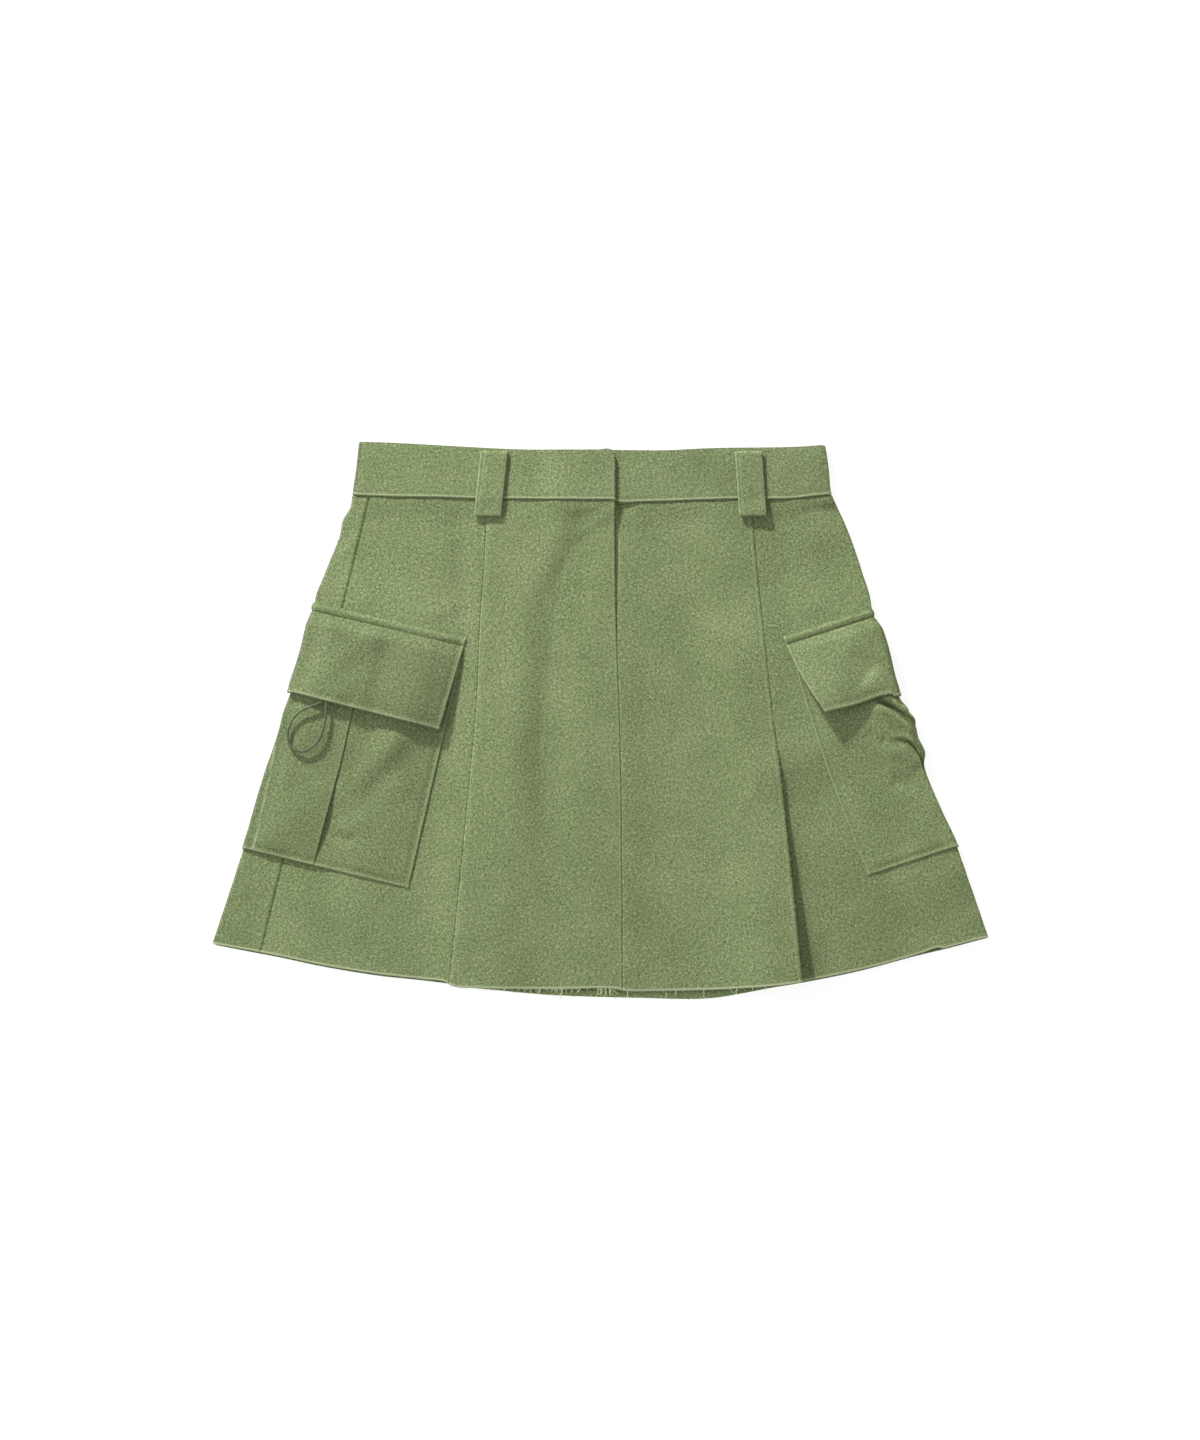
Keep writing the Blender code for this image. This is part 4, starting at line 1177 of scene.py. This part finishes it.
def rim_of(rows, columns):
    """The rows and columns of a grid's outermost points, once round."""
    rim = np.concatenate(
        [
            [(0, j) for j in range(columns)],
            [(i, columns - 1) for i in range(1, rows)],
            [(rows - 1, j) for j in range(columns - 2, -1, -1)],
            [(i, 0) for i in range(rows - 2, 0, -1)],
        ]
    )
    return rim[:, 0], rim[:, 1]


Cloth = namedtuple("Cloth", "points normals outer spans")


def shell(name, g, wall, rim, turn, bend=0, relief=0, wear=0, groove=0, tone=1):
    """A closed shell of cloth on a grid. bend moves the cloth out, and relief its outer face.

    The two shares, 0 to 1, say how pale the outer face is, from worn edges and painted highlights, and
    how dark, from seams and painted shade.
    """
    rows, columns = g.points.shape[:2]
    flat = np.zeros((rows, columns))
    points = g.points + facing_up(g.points, g.shown) * (bend + flat)[..., None]
    facing = facing_up(points, g.shown)
    outer = points + facing * (wall / 2 + (relief + flat))[..., None]
    inner = points - facing * wall / 2
    i, j = rim_of(rows, columns)
    away = unit(points[i, j] - points[np.clip(i, 1, rows - 2), np.clip(j, 1, columns - 2)])
    middle = (outer[i, j] + inner[i, j]) / 2 + away * rim
    vertices = np.concatenate([outer.reshape(-1, 3), inner.reshape(-1, 3), middle])

    index = np.arange(flat.size).reshape(rows, columns)
    corners = index[:-1, :-1], index[:-1, 1:], index[1:, 1:], index[1:, :-1]
    top = np.stack(corners, axis=-1).reshape(-1, 4)
    first, mid_first = index[i, j], 2 * flat.size + np.arange(len(i))
    second, mid_second = np.roll(first, -1), np.roll(mid_first, -1)
    upper = np.stack([second, first, mid_first, mid_second], axis=1)
    lower = np.stack([mid_second, mid_first, first + flat.size, second + flat.size], axis=1)
    faces = np.concatenate([top, top[:, ::-1] + flat.size, upper, lower])
    if grid_normals(points)[:, g.shown, 2].mean() < 0:
        faces = faces[:, ::-1]

    def at_vertices(values, inside, at_rim):
        values = values + flat
        return np.concatenate([values.ravel(), inside * values.ravel(), at_rim * values[i, j]])

    weave = weave_coordinates(points, g.shown, turn)
    piece = mesh_piece(
        name,
        vertices,
        faces,
        uv=np.stack([at_vertices(values, 1, 1) for values in weave], axis=1),
        wear=at_vertices(wear, 0, 1),
        groove=at_vertices(groove, 0, 0),
        tone=at_vertices(tone, 1, 1),
    )
    return piece, Cloth(points, facing, outer, g.spans)


def linked(name, data):
    made = bpy.data.objects.new(name, data)
    bpy.context.scene.collection.objects.link(made)
    return made


def mesh_piece(name, vertices, faces, uv=None, **shares_of):
    mesh = bpy.data.meshes.new(name)
    mesh.vertices.add(len(vertices))
    mesh.vertices.foreach_set("co", (vertices * MM).astype(np.float32).ravel())
    sides = faces.shape[1]
    mesh.loops.add(faces.size)
    mesh.loops.foreach_set("vertex_index", faces.astype(np.int32).ravel())
    mesh.polygons.add(len(faces))
    mesh.polygons.foreach_set("loop_start", np.arange(0, faces.size, sides, dtype=np.int32))
    if uv is not None:
        layer = mesh.uv_layers.new(name="cloth")
        layer.data.foreach_set("uv", (uv[faces.ravel()] * MM).astype(np.float32).ravel())
    for share_name, values in shares_of.items():
        attribute = mesh.attributes.new(share_name, "FLOAT", "POINT")
        attribute.data.foreach_set("value", values.astype(np.float32))
    mesh.update(calc_edges=True)
    mesh.validate()
    piece = linked(name, mesh)
    mesh.shade_smooth()
    mesh.set_sharp_from_angle(angle=math.radians(SHARP_FROM))
    return piece


# --- Materials ---


def linear(rgb):
    """An sRGB colour as the shader takes it."""
    found = [c / 255 / 12.92 if c <= 10 else ((c / 255 + 0.055) / 1.055) ** 2.4 for c in rgb]
    return (*found, 1)


class Nodes:
    """Makes a material's nodes in few words."""

    def __init__(self, name):
        self.material = bpy.data.materials.new(name)
        self.material.use_nodes = True
        self.tree = self.material.node_tree
        self.inputs = self.tree.nodes["Principled BSDF"].inputs

    def put(self, socket, value):
        if isinstance(value, bpy.types.NodeSocket):
            self.tree.links.new(value, socket)
        else:
            socket.default_value = value

    def node(self, kind, settings=(), **inputs):
        made = self.tree.nodes.new("ShaderNode" + kind)
        for name, value in dict(settings).items():
            setattr(made, name, value)
        for name, value in inputs.items():
            self.put(made.inputs[name], value)
        return made

    def math(self, operation, a, b, c=0.0):
        made = self.node("Math", {"operation": operation})
        for socket, value in zip(made.inputs, (a, b, c)):
            self.put(socket, value)
        return made.outputs[0]

    def noise(self, vector, scale, roughness=0.5):
        inputs = dict(Vector=vector, Scale=scale, Detail=2.0, Roughness=roughness)
        return self.node("TexNoise", **inputs).outputs["Fac"]

    def stretched(self, vector, scale, turn=0.0):
        turned = (0, 0, math.radians(turn))
        return self.node("Mapping", Vector=vector, Scale=scale, Rotation=turned).outputs["Vector"]

    def blend(self, kind, factor, a, b):
        made = self.node("Mix", {"data_type": "RGBA", "blend_type": kind}, Factor=factor)
        self.put(made.inputs[6], a)
        self.put(made.inputs[7], b)
        return made.outputs[2]

    def ramp(self, share, *stops):
        """A colour for each share, between stops that are given as (place, sRGB colour)."""
        made = self.node("ValToRGB", Fac=share)
        elements = made.color_ramp.elements
        elements[0].position, elements[1].position = stops[0][0], stops[-1][0]
        for place, _ in stops[1:-1]:
            elements.new(place)
        for element, (_, colour) in zip(elements, stops):
            element.color = linear(colour)
        return made.outputs["Color"]

    def painted(self, name):
        return self.node("Attribute", {"attribute_name": name}).outputs["Fac"]

    def raised(self, height, distance):
        lift = self.node("Bump", Height=height, Strength=0.4, Distance=distance)
        self.put(self.inputs["Normal"], lift.outputs["Normal"])

    def strokes(self, place, turn, across, along):
        """Short uneven strokes of yarn, about as wide as 1 / across: -0.5 to 0.5."""
        turned = self.stretched(place, (1, 1, 1), turn)
        noise = self.noise(self.stretched(turned, (across, along, 1)), 1.0, 0.6)
        return self.math("SUBTRACT", noise, 0.5)


def twill(look):
    """Washed cotton twill: mottled yarn that shows as short diagonal strokes."""
    m = Nodes(look.name)
    cloth = m.node("UVMap", {"uv_map": "cloth"}).outputs["UV"]
    place = m.stretched(cloth, (1000, 1000, 1000))
    yarn = [m.strokes(place, row.turn, row.across, row.along) for row in YARN]
    share = 0.5
    for part, row in zip(yarn, YARN):
        share = m.math("MULTIPLY_ADD", part, row.weight, share)
    colour = m.ramp(share, (0.0, look.dark), (0.5, look.middle), (1.0, look.light))
    spots = m.math("MULTIPLY_ADD", m.noise(place, 0.5), 1.2, 0.3)
    # The tone share carries the pieces' own tones and also painted light and shade; the dark tint
    # paints seams and painted shade, and the pale colour worn edges and painted highlights.
    patchy = m.math("MULTIPLY", m.painted("wear"), spots)
    colour = m.blend("MULTIPLY", 1.0, colour, m.painted("tone"))
    colour = m.blend("MULTIPLY", m.painted("groove"), colour, SEAM_AND_SHADE_TINT)
    colour = m.blend("MIX", patchy, colour, linear(look.worn))
    warp, weft, rising, falling, fleck, _ = yarn
    m.put(m.inputs["Base Color"], colour)
    m.put(m.inputs["Roughness"], m.math("MULTIPLY_ADD", fleck, 0.16, 0.86))
    m.raised(m.math("ADD", m.math("ADD", warp, weft), m.math("ADD", rising, falling)), 0.0003)
    m.put(m.inputs["Sheen Weight"], 0.12)
    m.put(m.inputs["Sheen Roughness"], 0.55)
    m.put(m.inputs["Specular IOR Level"], 0.15)
    return m.material


def plain_thread(look):
    m = Nodes(look.name)
    place = m.stretched(m.node("TexCoord").outputs["Object"], (1000, 1000, 1000))
    darker = [c - look.variation for c in look.colour]
    paler = [c + look.variation for c in look.colour]
    m.put(m.inputs["Base Color"], m.ramp(m.noise(place, 0.4), (0.3, darker), (0.7, paler)))
    m.put(m.inputs["Roughness"], 0.8)
    m.put(m.inputs["Specular IOR Level"], 0.2)
    m.raised(m.noise(m.stretched(place, (2.5, 2.5, 2.5)), 1.0), 0.0001)
    return m.material


# --- Camera, light and floor ---


def camera():
    data = bpy.data.cameras.new("camera")
    data.lens, data.sensor_width = LENS, SENSOR
    data.clip_start, data.clip_end = 0.1, 20
    made = linked("camera", data)
    far = PICTURE_HEIGHT * PIXEL * LENS / SENSOR
    made.location = (CAMERA_ASIDE * MM, 0.0, (far + CAMERA_LEVEL) * MM)
    bpy.context.scene.camera = made


def lamp(name, place, size, share):
    """A round lamp that faces the skirt and gives this share of the light on its plane."""
    data = bpy.data.lights.new(name, "AREA")
    data.shape = "DISK"
    data.size = size
    data.energy = share * (math.pi * place.length) ** 2 * place.length / place.z
    made = linked(name, data)
    made.location = place
    made.rotation_mode = "QUATERNION"
    made.rotation_quaternion = (-place).to_track_quat("-Z", "Y")


def lights():
    """A soft key from the upper left, low over the cloth, a wide one from the left, and an
    even fill all round."""
    height, heading = math.radians(KEY_HEIGHT), math.radians(KEY_HEADING)
    level = math.cos(height)
    back = (-level * math.sin(heading), level * math.cos(heading), math.sin(height))
    lamp("key", Vector(back) * KEY_FAR, KEY_SIZE, KEY_SHARE)
    lamp("side", Vector(SIDE_PLACE), SIDE_SIZE, SIDE_SHARE)
    world = bpy.data.worlds.new("room")
    bpy.context.scene.world = world
    world.use_nodes = True
    background = world.node_tree.nodes["Background"]
    background.inputs["Color"].default_value = (1.0, 1.0, 1.0, 1)
    background.inputs["Strength"].default_value = FILL


def floor():
    mesh = bpy.data.meshes.new("floor")
    corners = [(-1, -1), (1, -1), (1, 1), (-1, 1)]
    points = [(x * FLOOR_HALF, y * FLOOR_HALF, FLOOR_TOP) for x, y in corners]
    mesh.from_pydata(points, [], [(0, 1, 2, 3)])
    m = Nodes("pale_floor")
    m.put(m.inputs["Base Color"], (FLOOR_GREY, FLOOR_GREY, FLOOR_GREY, 1))
    m.put(m.inputs["Roughness"], 1.0)
    m.put(m.inputs["Specular IOR Level"], 0.0)
    m.put(m.inputs["Emission Color"], (1, 1, 1, 1))
    m.put(m.inputs["Emission Strength"], FLOOR_GLOW)
    mesh.materials.append(m.material)
    linked("floor", mesh)


# --- What the outer faces show: relief, pale wear, sewn grooves and tone ---


def distances(g):
    """How far each point is from the edges of its piece and of the part that shows."""
    run, top = lengths(g.points, 1), lengths(g.points, 0)
    first = np.abs(run - run[:, g.front.start : g.front.start + 1])
    last = np.abs(run - run[:, g.front.stop - 1 : g.front.stop])
    low = top[-1:] - top
    sides, sewn = np.minimum(top, low), np.minimum(first, low)
    return dict(top=top, low=low, first=first, last=last, sides=sides, sewn=sewn)


def profile(distance, rows):
    return sum(row.amount * bump(distance - row.at, row.width) for row in rows)


def marked(names, away):
    """Relief, wear and groove from the tables for these names."""
    found = {what: np.zeros(away["top"].shape) for what in ("relief", "wear", "groove")}
    for mark in (mark for name in names for mark in MARKS.get(name, [])):
        amount = profile(away[mark.edge], [mark])
        if mark.what == "relief":
            found["relief"] = found["relief"] + amount
        else:
            found[mark.what] = np.maximum(found[mark.what], amount)
    return found


def sewn_edges(away):
    """The relief along a pocket's or a flap's two sewn edges."""
    edges = away["first"], away["low"]
    raised = np.maximum(*[profile(far, SEWN_EDGE) for far in edges])
    return raised + np.minimum(*[profile(far, SEWN_DIP) for far in edges])


def wash_and_shade(x, y):
    # Painted light and shade from the spots, with the wash's own unevenness.
    total = np.ones(np.shape(x))
    for w in WASH_AND_SHADE_SPOTS:
        total = total + w.change * bump(x - w.x, w.reach_x) * bump(y - w.y, w.reach_y)
    return total


def fold_shaded(g, tone, least=FOLD_SHADE):
    """The tone with painted shade, darker from a little way into the side fold on."""
    span = g.spans["fold"]
    place = np.linspace(0, 1, span.stop - span.start)
    if g.spans["under"].start < span.start:
        place = place[::-1]
    tone[:, span] *= mix(1, least, smooth(place / FOLD_SHADE_FROM))
    return tone


def show_under(g, look, x, y):
    """The back where it shows below the front: painted paler to lift its shade, with painted shade
    close below the front's hem and full painted shade at the sides.
    """
    under = g.spans["under"]
    at_sides = smooth((np.abs(x) - SIDES_FROM) / SIDES_FADE)
    lit = smooth(x / UNDER_LIT_REACH) * (1 - at_sides)
    below = fall(front_hem(x) - y - UNDER_SHADE_FROM, UNDER_SHADE_REACH) * mix(1, UNDER_LIT, lit)
    look["tone"][:, under] *= (UNDER_PAINTED_LIGHT * (1 - UNDER_SHADE * below))[:, under]
    look["wear"][:, under] *= mix(1, SIDES_WEAR, at_sides)[:, under]


def panel_face(node, g):
    x, y = g.points[..., 0], g.points[..., 1]
    away = distances(g)
    away["fly"] = np.where(x < FLY_STITCH_TO, along_line(FLY_STITCH, x, y)[0], np.inf)
    look = marked(("panel", node), away)
    look["relief"] = look["relief"] + ripple("panel", x, y)
    hem = HEM_WEAR * fall(away["low"] - HEM_WEAR_FROM, HEM_WEAR_FADE)
    look["wear"] = np.maximum(look["wear"], hem)
    # Painted light and shade from the spots, with the wash's own unevenness.
    tone = wash_and_shade(x, y)
    # Painted light in the shadow beside a lap.
    for strip in (strip for strip in LIT_STRIPS if strip.node == node):
        inside = smooth((y - strip.y_from) / (strip.y_full - strip.y_from))
        tone = tone * (1 + strip.paler * bump(away["first"] - strip.at, strip.width) * inside)
    # Painted light lifts the shade in the left-hand pleat's seam.
    if node == "front_centre_left":
        tone[:, g.spans["fold_left"]] *= SEAM_LIGHT
    if "fold" in g.spans:
        # Painted shade in the side fold.
        tone = fold_shaded(g, tone)
    look["tone"] = tone
    if node == "back":
        show_under(g, look, x, y)
    return look


def band_face(node, g):
    x, y = g.points[..., 0], g.points[..., 1]
    away = distances(g)
    look = marked((node,), away)
    look["relief"] = look["relief"] + ripple("waistband", x, y * BAND_WAVE_SLANT)
    # Painted light and shade from the spots, painted shade along the upper rim and the left fold, and
    # painted light on the right fold.
    tone = wash_and_shade(x, y) * mix(RIM_SHADE, 1, smooth(away["top"] / RIM_WIDTH))
    tone[:, g.spans["fold_left"]] *= RIM_SHADE
    tone[:, g.spans["fold_right"]] *= RIGHT_RIM_LIGHT
    return look | {"tone": tone}


def loop_face(node, g):
    look = marked(("loop", node), distances(g))
    look["relief"] = look["relief"] + ripple("loop", g.points[..., 0], g.points[..., 1])
    return look


def crumple_shade_and_highlight(x, y):
    """Painted shade on the crumpled pocket beside its crests, and a painted highlight on one of them.
    """
    dark = np.zeros(np.shape(x))
    for shade in SHADES:
        far, side, ends = along_line(shade.points, x, y)
        out = side * far
        strip = smooth(out / SHADE_EDGE + 0.5) * fall(out - shade.full, shade.fade)
        dark = np.maximum(dark, shade.dark * ends * strip)
    far, _, ends = along_line(RIDGE_LINE, x, y)
    return dark, RIDGE_HIGHLIGHT * ends * bump(far, RIDGE_WIDTH)


def pocket_bend(node, g, away):
    x, y = g.points[..., 0], g.points[..., 1]
    loose = smooth(away["first"] / CREASE_MARGIN) * smooth(away["low"] / CREASE_MARGIN)
    bend = (creases(node, x, y) + ripple("pocket_bend", x, y)) * loose
    for name, span in g.spans.items():
        if name not in ("front", "box", "fold"):
            bend[:, span] = 0
    fold = g.spans["fold"]
    bend[:, fold] *= np.linspace(1, 0, fold.stop - fold.start) ** 0.5
    return bend


def pocket_face(node, g):
    x, y = g.points[..., 0], g.points[..., 1]
    away, under = distances(g), g.spans["under"]
    bend = pocket_bend(node, g, away)
    if node == "pocket_left":
        box = g.spans["box"].start
        run = lengths(g.points, 1)
        away["line"] = along_line(POCKET_LEFT_LINE, x, y)[0]
        away["box"] = np.abs(run - run[:, box : box + 1])
        bend = bend * smooth(np.abs(x - x[:, box : box + 1]) / BOX_MARGIN)
    look = marked(("pocket", node), away)
    look["relief"] = look["relief"] + sewn_edges(away) + ripple("pocket", x, y)
    tone = np.full(np.shape(x), TONES[node])
    if node == "pocket_left":
        look["wear"][:, under] = 0
        tone[:, box:] *= BOX_TONE
        # Painted shade in the side fold.
        tone = fold_shaded(g, tone)
    else:
        # Painted shade beside the crumpled pocket's crests, a painted highlight on one of them, and
        # painted shade in its fold.
        dark, pale = crumple_shade_and_highlight(x, y)
        dark[:, under] = 0
        look["groove"] = np.maximum(look["groove"], SHADE_GROOVE * dark)
        tone = fold_shaded(g, tone * (1 - SHADE_TONE * dark) * (1 + pale), CRUMPLED_FOLD_SHADE)
    return look | {"tone": tone, "bend": bend}


def flap_face(node, g):
    away = distances(g)
    u, v = weave_coordinates(g.points, g.shown, 0.0)
    loose = smooth((away["top"] - LOOSE_FROM) / LOOSE_FADE)
    look = marked(("flap", node), away)
    look["relief"] = look["relief"] + sewn_edges(away) + ripple("flap", u, v) * loose
    past_band = smooth((away["top"] - FLAP_BAND) / FLAP_BAND_FADE)
    # Painted shade in the side fold.
    tone = fold_shaded(g, mix(FLAP_BAND_TONE, TONES[node], past_band))
    return look | {"tone": tone, "bend": creases(node, u, v) * loose}


# --- Stitches, loose threads and the cord ---


def resampled(path, step):
    """Points along a line of points, about step apart."""
    run = lengths(path[None], 1)[0]
    at = np.arange(step / 2, run[-1], step)
    return np.stack([np.interp(at, run, path[:, k]) for k in range(3)], axis=1)


def copies(vertices, faces):
    """The same faces on each row of vertices."""
    offset = np.arange(len(vertices))[:, None, None] * vertices.shape[1]
    return vertices.reshape(-1, 3), (np.array(faces)[None] + offset).reshape(-1, 3)


def grains(starts, ends, facing):
    """Small pointed grains of thread from starts to ends, as vertices and faces."""
    along = ends - starts
    across = unit(np.cross(along, facing)) * STITCH_RADIUS
    up = facing * STITCH_RADIUS * STITCH_FLAT
    ring = [across, up, -across, -up]
    near, far = starts + along * STITCH_POINT, ends - along * STITCH_POINT
    parts = [starts, *[near + r for r in ring], *[far + r for r in ring], ends]
    faces = []
    for k in range(4):
        n = (k + 1) % 4
        faces += [(0, 1 + n, 1 + k), (1 + k, 1 + n, 5 + n), (1 + k, 5 + n, 5 + k), (9, 5 + k, 5 + n)]
    return copies(np.stack(parts, axis=1), faces)


def stitches(path, facing):
    """Stitches along a line on a surface."""
    run = lengths(path[None], 1)[0]
    first = np.arange(STITCH_FIRST, run[-1] - STITCH_LENGTH, STITCH_PITCH)

    def at(where, values):
        return np.stack([np.interp(where, run, values[:, k]) for k in range(3)], axis=1)

    up = at(first + STITCH_LENGTH / 2, facing)
    shift = up * (STITCH_RADIUS * STITCH_RAISED - STITCH_SUNK)
    return grains(at(first, path) + shift, at(first + STITCH_LENGTH, path) + shift, up)


def sewn_row(cloth, row, columns=slice(None)):
    return stitches(cloth.outer[row, columns], cloth.normals[row, columns])


def sewn_column(cloth, column):
    return stitches(cloth.outer[:, column], cloth.normals[:, column])


def strands(roots, lean, long, radii, seed):
    """Loose threads: thin three-sided tubes that hang down, lean and bend at random."""
    chance = np.random.default_rng(seed)
    count, joints = len(roots), THREAD_JOINTS
    directions = np.stack([np.sin(lean), -np.cos(lean), 0 * lean], axis=1)
    t = np.linspace(0, 1, joints)[None, :, None]
    side = np.cross(directions, [0, 0, 1.0])
    curl = chance.normal(0, THREAD_CURL, (count, 1, 1))
    kink = chance.normal(0, THREAD_KINK, (count, joints, 3)) * t
    run = long[:, None, None]
    path = roots[:, None] + run * (t * directions[:, None] + curl * t * t * side[:, None] + kink)
    sunk = path[..., 2] - THREAD_SINK * t[..., 0] * np.minimum(long[:, None], SINK_LENGTH)
    path[..., 2] = np.maximum(sunk, THREAD_LOWEST)
    angles = np.radians([90, 210, 330])
    taper = np.linspace(1, THREAD_TIP, joints)[None, :, None, None]
    ring = side[:, None, None] * np.cos(angles)[None, None, :, None]
    ring = ring + np.array([0, 0, 1.0]) * np.sin(angles)[None, None, :, None]
    vertices = path[:, :, None] + ring * taper * radii[:, None, None, None]
    faces = []
    for j in range(joints - 1):
        for k in range(3):
            a, b = j * 3 + k, j * 3 + (k + 1) % 3
            faces += [(a, b, b + 3), (a, b + 3, a + 3)]
    faces += [(2, 1, 0), tuple((joints - 1) * 3 + k for k in range(3))]
    return copies(vertices.reshape(count, -1, 3), faces)


def loose_threads():
    """Single threads that hang from the front's hem."""
    x, y, lean, long = np.array(LOOSE_THREADS, float).T
    level = np.where(x < centre(y), centre_left_level(x, y), centre_right_level(x, y))
    roots = np.stack([x, y, level], axis=1)
    return strands(roots, lean, long, np.full(len(x), LOOSE_RADIUS), LOOSE_SEED)


def joined(parts):
    vertices, faces, at = [], [], 0
    for v, f in parts:
        vertices.append(v)
        faces.append(f + at)
        at += len(v)
    return np.concatenate(vertices), np.concatenate(faces)


def threads(name, parts, material):
    piece = mesh_piece(name, *joined(parts))
    piece.data.materials.append(material)
    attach(piece, "root")


def cord_loop(material):
    points = curve_through(CORD_ROUTE, CORD_POINTS) * MM
    data = bpy.data.curves.new("elastic_cord", "CURVE")
    data.dimensions = "3D"
    data.bevel_depth = CORD_RADIUS * MM
    data.bevel_resolution = 5
    data.use_fill_caps = True
    spline = data.splines.new("POLY")
    spline.points.add(len(points) - 1)
    for point, place in zip(spline.points, points):
        point.co = (*place, 1)
    data.materials.append(material)
    made = linked("elastic_cord", data)
    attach(made, "root")
    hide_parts("cord_loop")
    tuple(points[0])


# --- Making the pieces ---

PIECES = table(
    "node kind build",
    ("back", "panel", back_grid),
    ("front_side_left", "panel", side_left_grid),
    ("front_centre_left", "panel", centre_left_grid),
    ("front_centre_right", "panel", centre_right_grid),
    ("front_side_right", "panel", side_right_grid),
    ("waistband", "waistband", band_grid),
    *[(loop.node, "loop", partial(loop_grid, loop)) for loop in LOOPS],
    ("pocket_left", "pocket", pocket_left_grid),
    ("pocket_right", "pocket", pocket_right_grid),
    ("pocket_flap_left", "flap", partial(flap_grid, PATCHES["pocket_flap_left"])),
    ("pocket_flap_right", "flap", partial(flap_grid, PATCHES["pocket_flap_right"])),
)
PANELS = [piece.node for piece in PIECES if piece.kind == "panel"]
# A kind's rows are about so far apart along about so long a piece, and closer at its two ends.
KINDS = table(
    "name face slot wall rim length step head tail",
    ("panel", panel_face, "twill", WALL, 0.3, 365, FINE, HEM_STATIONS, HEM_STATIONS),
    ("waistband", band_face, "twill_double", BAND, 0.7, 37, 1.8, EDGE_STATIONS, EDGE_STATIONS),
    ("loop", loop_face, "twill_double", LOOP_WALL, 0.35, LOOP_WIDTH, 2.0, LOOP_STATIONS, LOOP_STATIONS),
    ("pocket", pocket_face, "twill", WALL, 0.3, POCKET_LENGTH, 1.2, EDGE_STATIONS, EDGE_STATIONS),
    ("flap", flap_face, "twill_double", FLAP_WALL, 0.5, FLAP_LENGTH, 1.6, FLAP_STATIONS, EDGE_STATIONS),
)


def dressed():
    """Every cloth piece, by the node that it stands for."""
    kinds = {kind.name: kind for kind in KINDS}
    twills = {look.name: twill(look) for look in TWILLS}
    made = {}
    for node, kind_name, build in PIECES:
        kind = kinds[kind_name]
        g = build(shares(kind.length, kind.step, kind.head, kind.tail))
        look = kind.face(node, g)
        turn = GRAIN_TURN.get(node, 0.0)
        piece, cloth = shell(node + "_cloth", g, kind.wall, kind.rim, turn, **look)
        piece.data.materials.append(twills[kind.slot])
        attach(piece, "root")
        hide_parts(node)
        made[node] = piece, cloth
    return made


def fly_stitching():
    path = curve_through(FLY_STITCH, FLY_STITCH_POINTS)
    x, y = path[:, :1], path[:, 1:]
    z = centre_left_level(x, y) + WALL / 2 - FLY_STITCH_SUNK
    facing = np.tile([0.0, 0, 1], (FLY_STITCH_POINTS, 1))
    return stitches(np.concatenate([x, y, z], axis=1), facing)


def topstitching(cloths, material):
    left, right = cloths["front_centre_left"], cloths["front_centre_right"]
    panels = [
        sewn_column(left, left.spans["front"].stop - 1 - SEWN_AT),
        fly_stitching(),
        sewn_column(right, right.spans["front"].stop - 1 - SEWN_AT),
    ]
    band = cloths["waistband"]
    down = lengths(band.points, 0)[:, 0]
    bands = [sewn_row(band, np.argmin(np.abs(down[-1] - down - BAND_STITCH_AT)))]
    for loop in LOOPS:
        cloth = cloths[loop.node]
        for row in (LOOP_SEWN_AT, -1 - LOOP_SEWN_AT):
            bands.append(sewn_row(cloth, row, cloth.spans["front"]))
    pockets = []
    for node in PATCHES:
        pockets.append(sewn_column(cloths[node], SEWN_AT))
        pockets.append(sewn_row(cloths[node], -1 - SEWN_AT, slice(SEWN_AT, None)))
    threads("panel_stitching", panels, material)
    threads("waistband_stitching", bands, material)
    threads("pocket_stitching", pockets, material)


def frayed_hem(cloths, material):
    """The raw hem frays all round, and most in two places of the fly's panel."""
    chance = np.random.default_rng(FRAY_SEED)
    tufts = []
    for node in PANELS:
        for name, span in cloths[node].spans.items():
            hem = cloths[node].points[-1, span]
            if len(hem) < 3 or "hidden" in name or "turned" in name:
                continue
            roots = resampled(hem, FRAY_PITCH)
            count = len(roots)
            roots = roots + chance.normal(0, FRAY_SPREAD, (count, 3)) * [1, 0.5, 0.5]
            lean = chance.normal(0, FRAY_LEAN, count)
            long = FRAY_LEAST + chance.gamma(1.0, FRAY_LONGER, count)
            ragged = np.max([r.more * bump(roots[:, 0] - r.x, r.width) for r in RAGGED], axis=0)
            ragged = ragged * (node == "front_centre_left")
            longer = chance.gamma(2.0, RAGGED_LONGER, count)
            long = long + ragged * longer * (chance.random(count) < RAGGED_SHARE)
            radii = chance.uniform(*FRAY_RADII, count) + RAGGED_THICKER * ragged
            kept = np.full(count, True)
            if node == "back" and name == "under":
                kept = np.abs(roots[:, 0]) < SIDES_FROM
            seed = FRAY_SEED + 2 + len(tufts)
            tufts.append(strands(roots[kept], lean[kept], long[kept], radii[kept], seed))
    tufts.append(loose_threads())
    threads("hem_fraying", tufts, material)


def state_sheets(made):
    """Measures each cloth piece's grid spacing, across and down, and keeps nothing."""
    for piece, cloth in made.values():
        across = np.linalg.norm(np.diff(cloth.points, axis=1), axis=-1)
        down = np.linalg.norm(np.diff(cloth.points, axis=0), axis=-1)


def main():
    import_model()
    bpy.context.scene.view_settings.view_transform = "Standard"
    bpy.context.scene.view_settings.look = "None"
    camera()
    lights()
    floor()
    thread, fray, elastic = (plain_thread(look) for look in THREADS)
    cord_loop(elastic)
    made = dressed()
    cloths = {node: cloth for node, (_, cloth) in made.items()}
    topstitching(cloths, thread)
    frayed_hem(cloths, fray)
    state_sheets(made)


main()
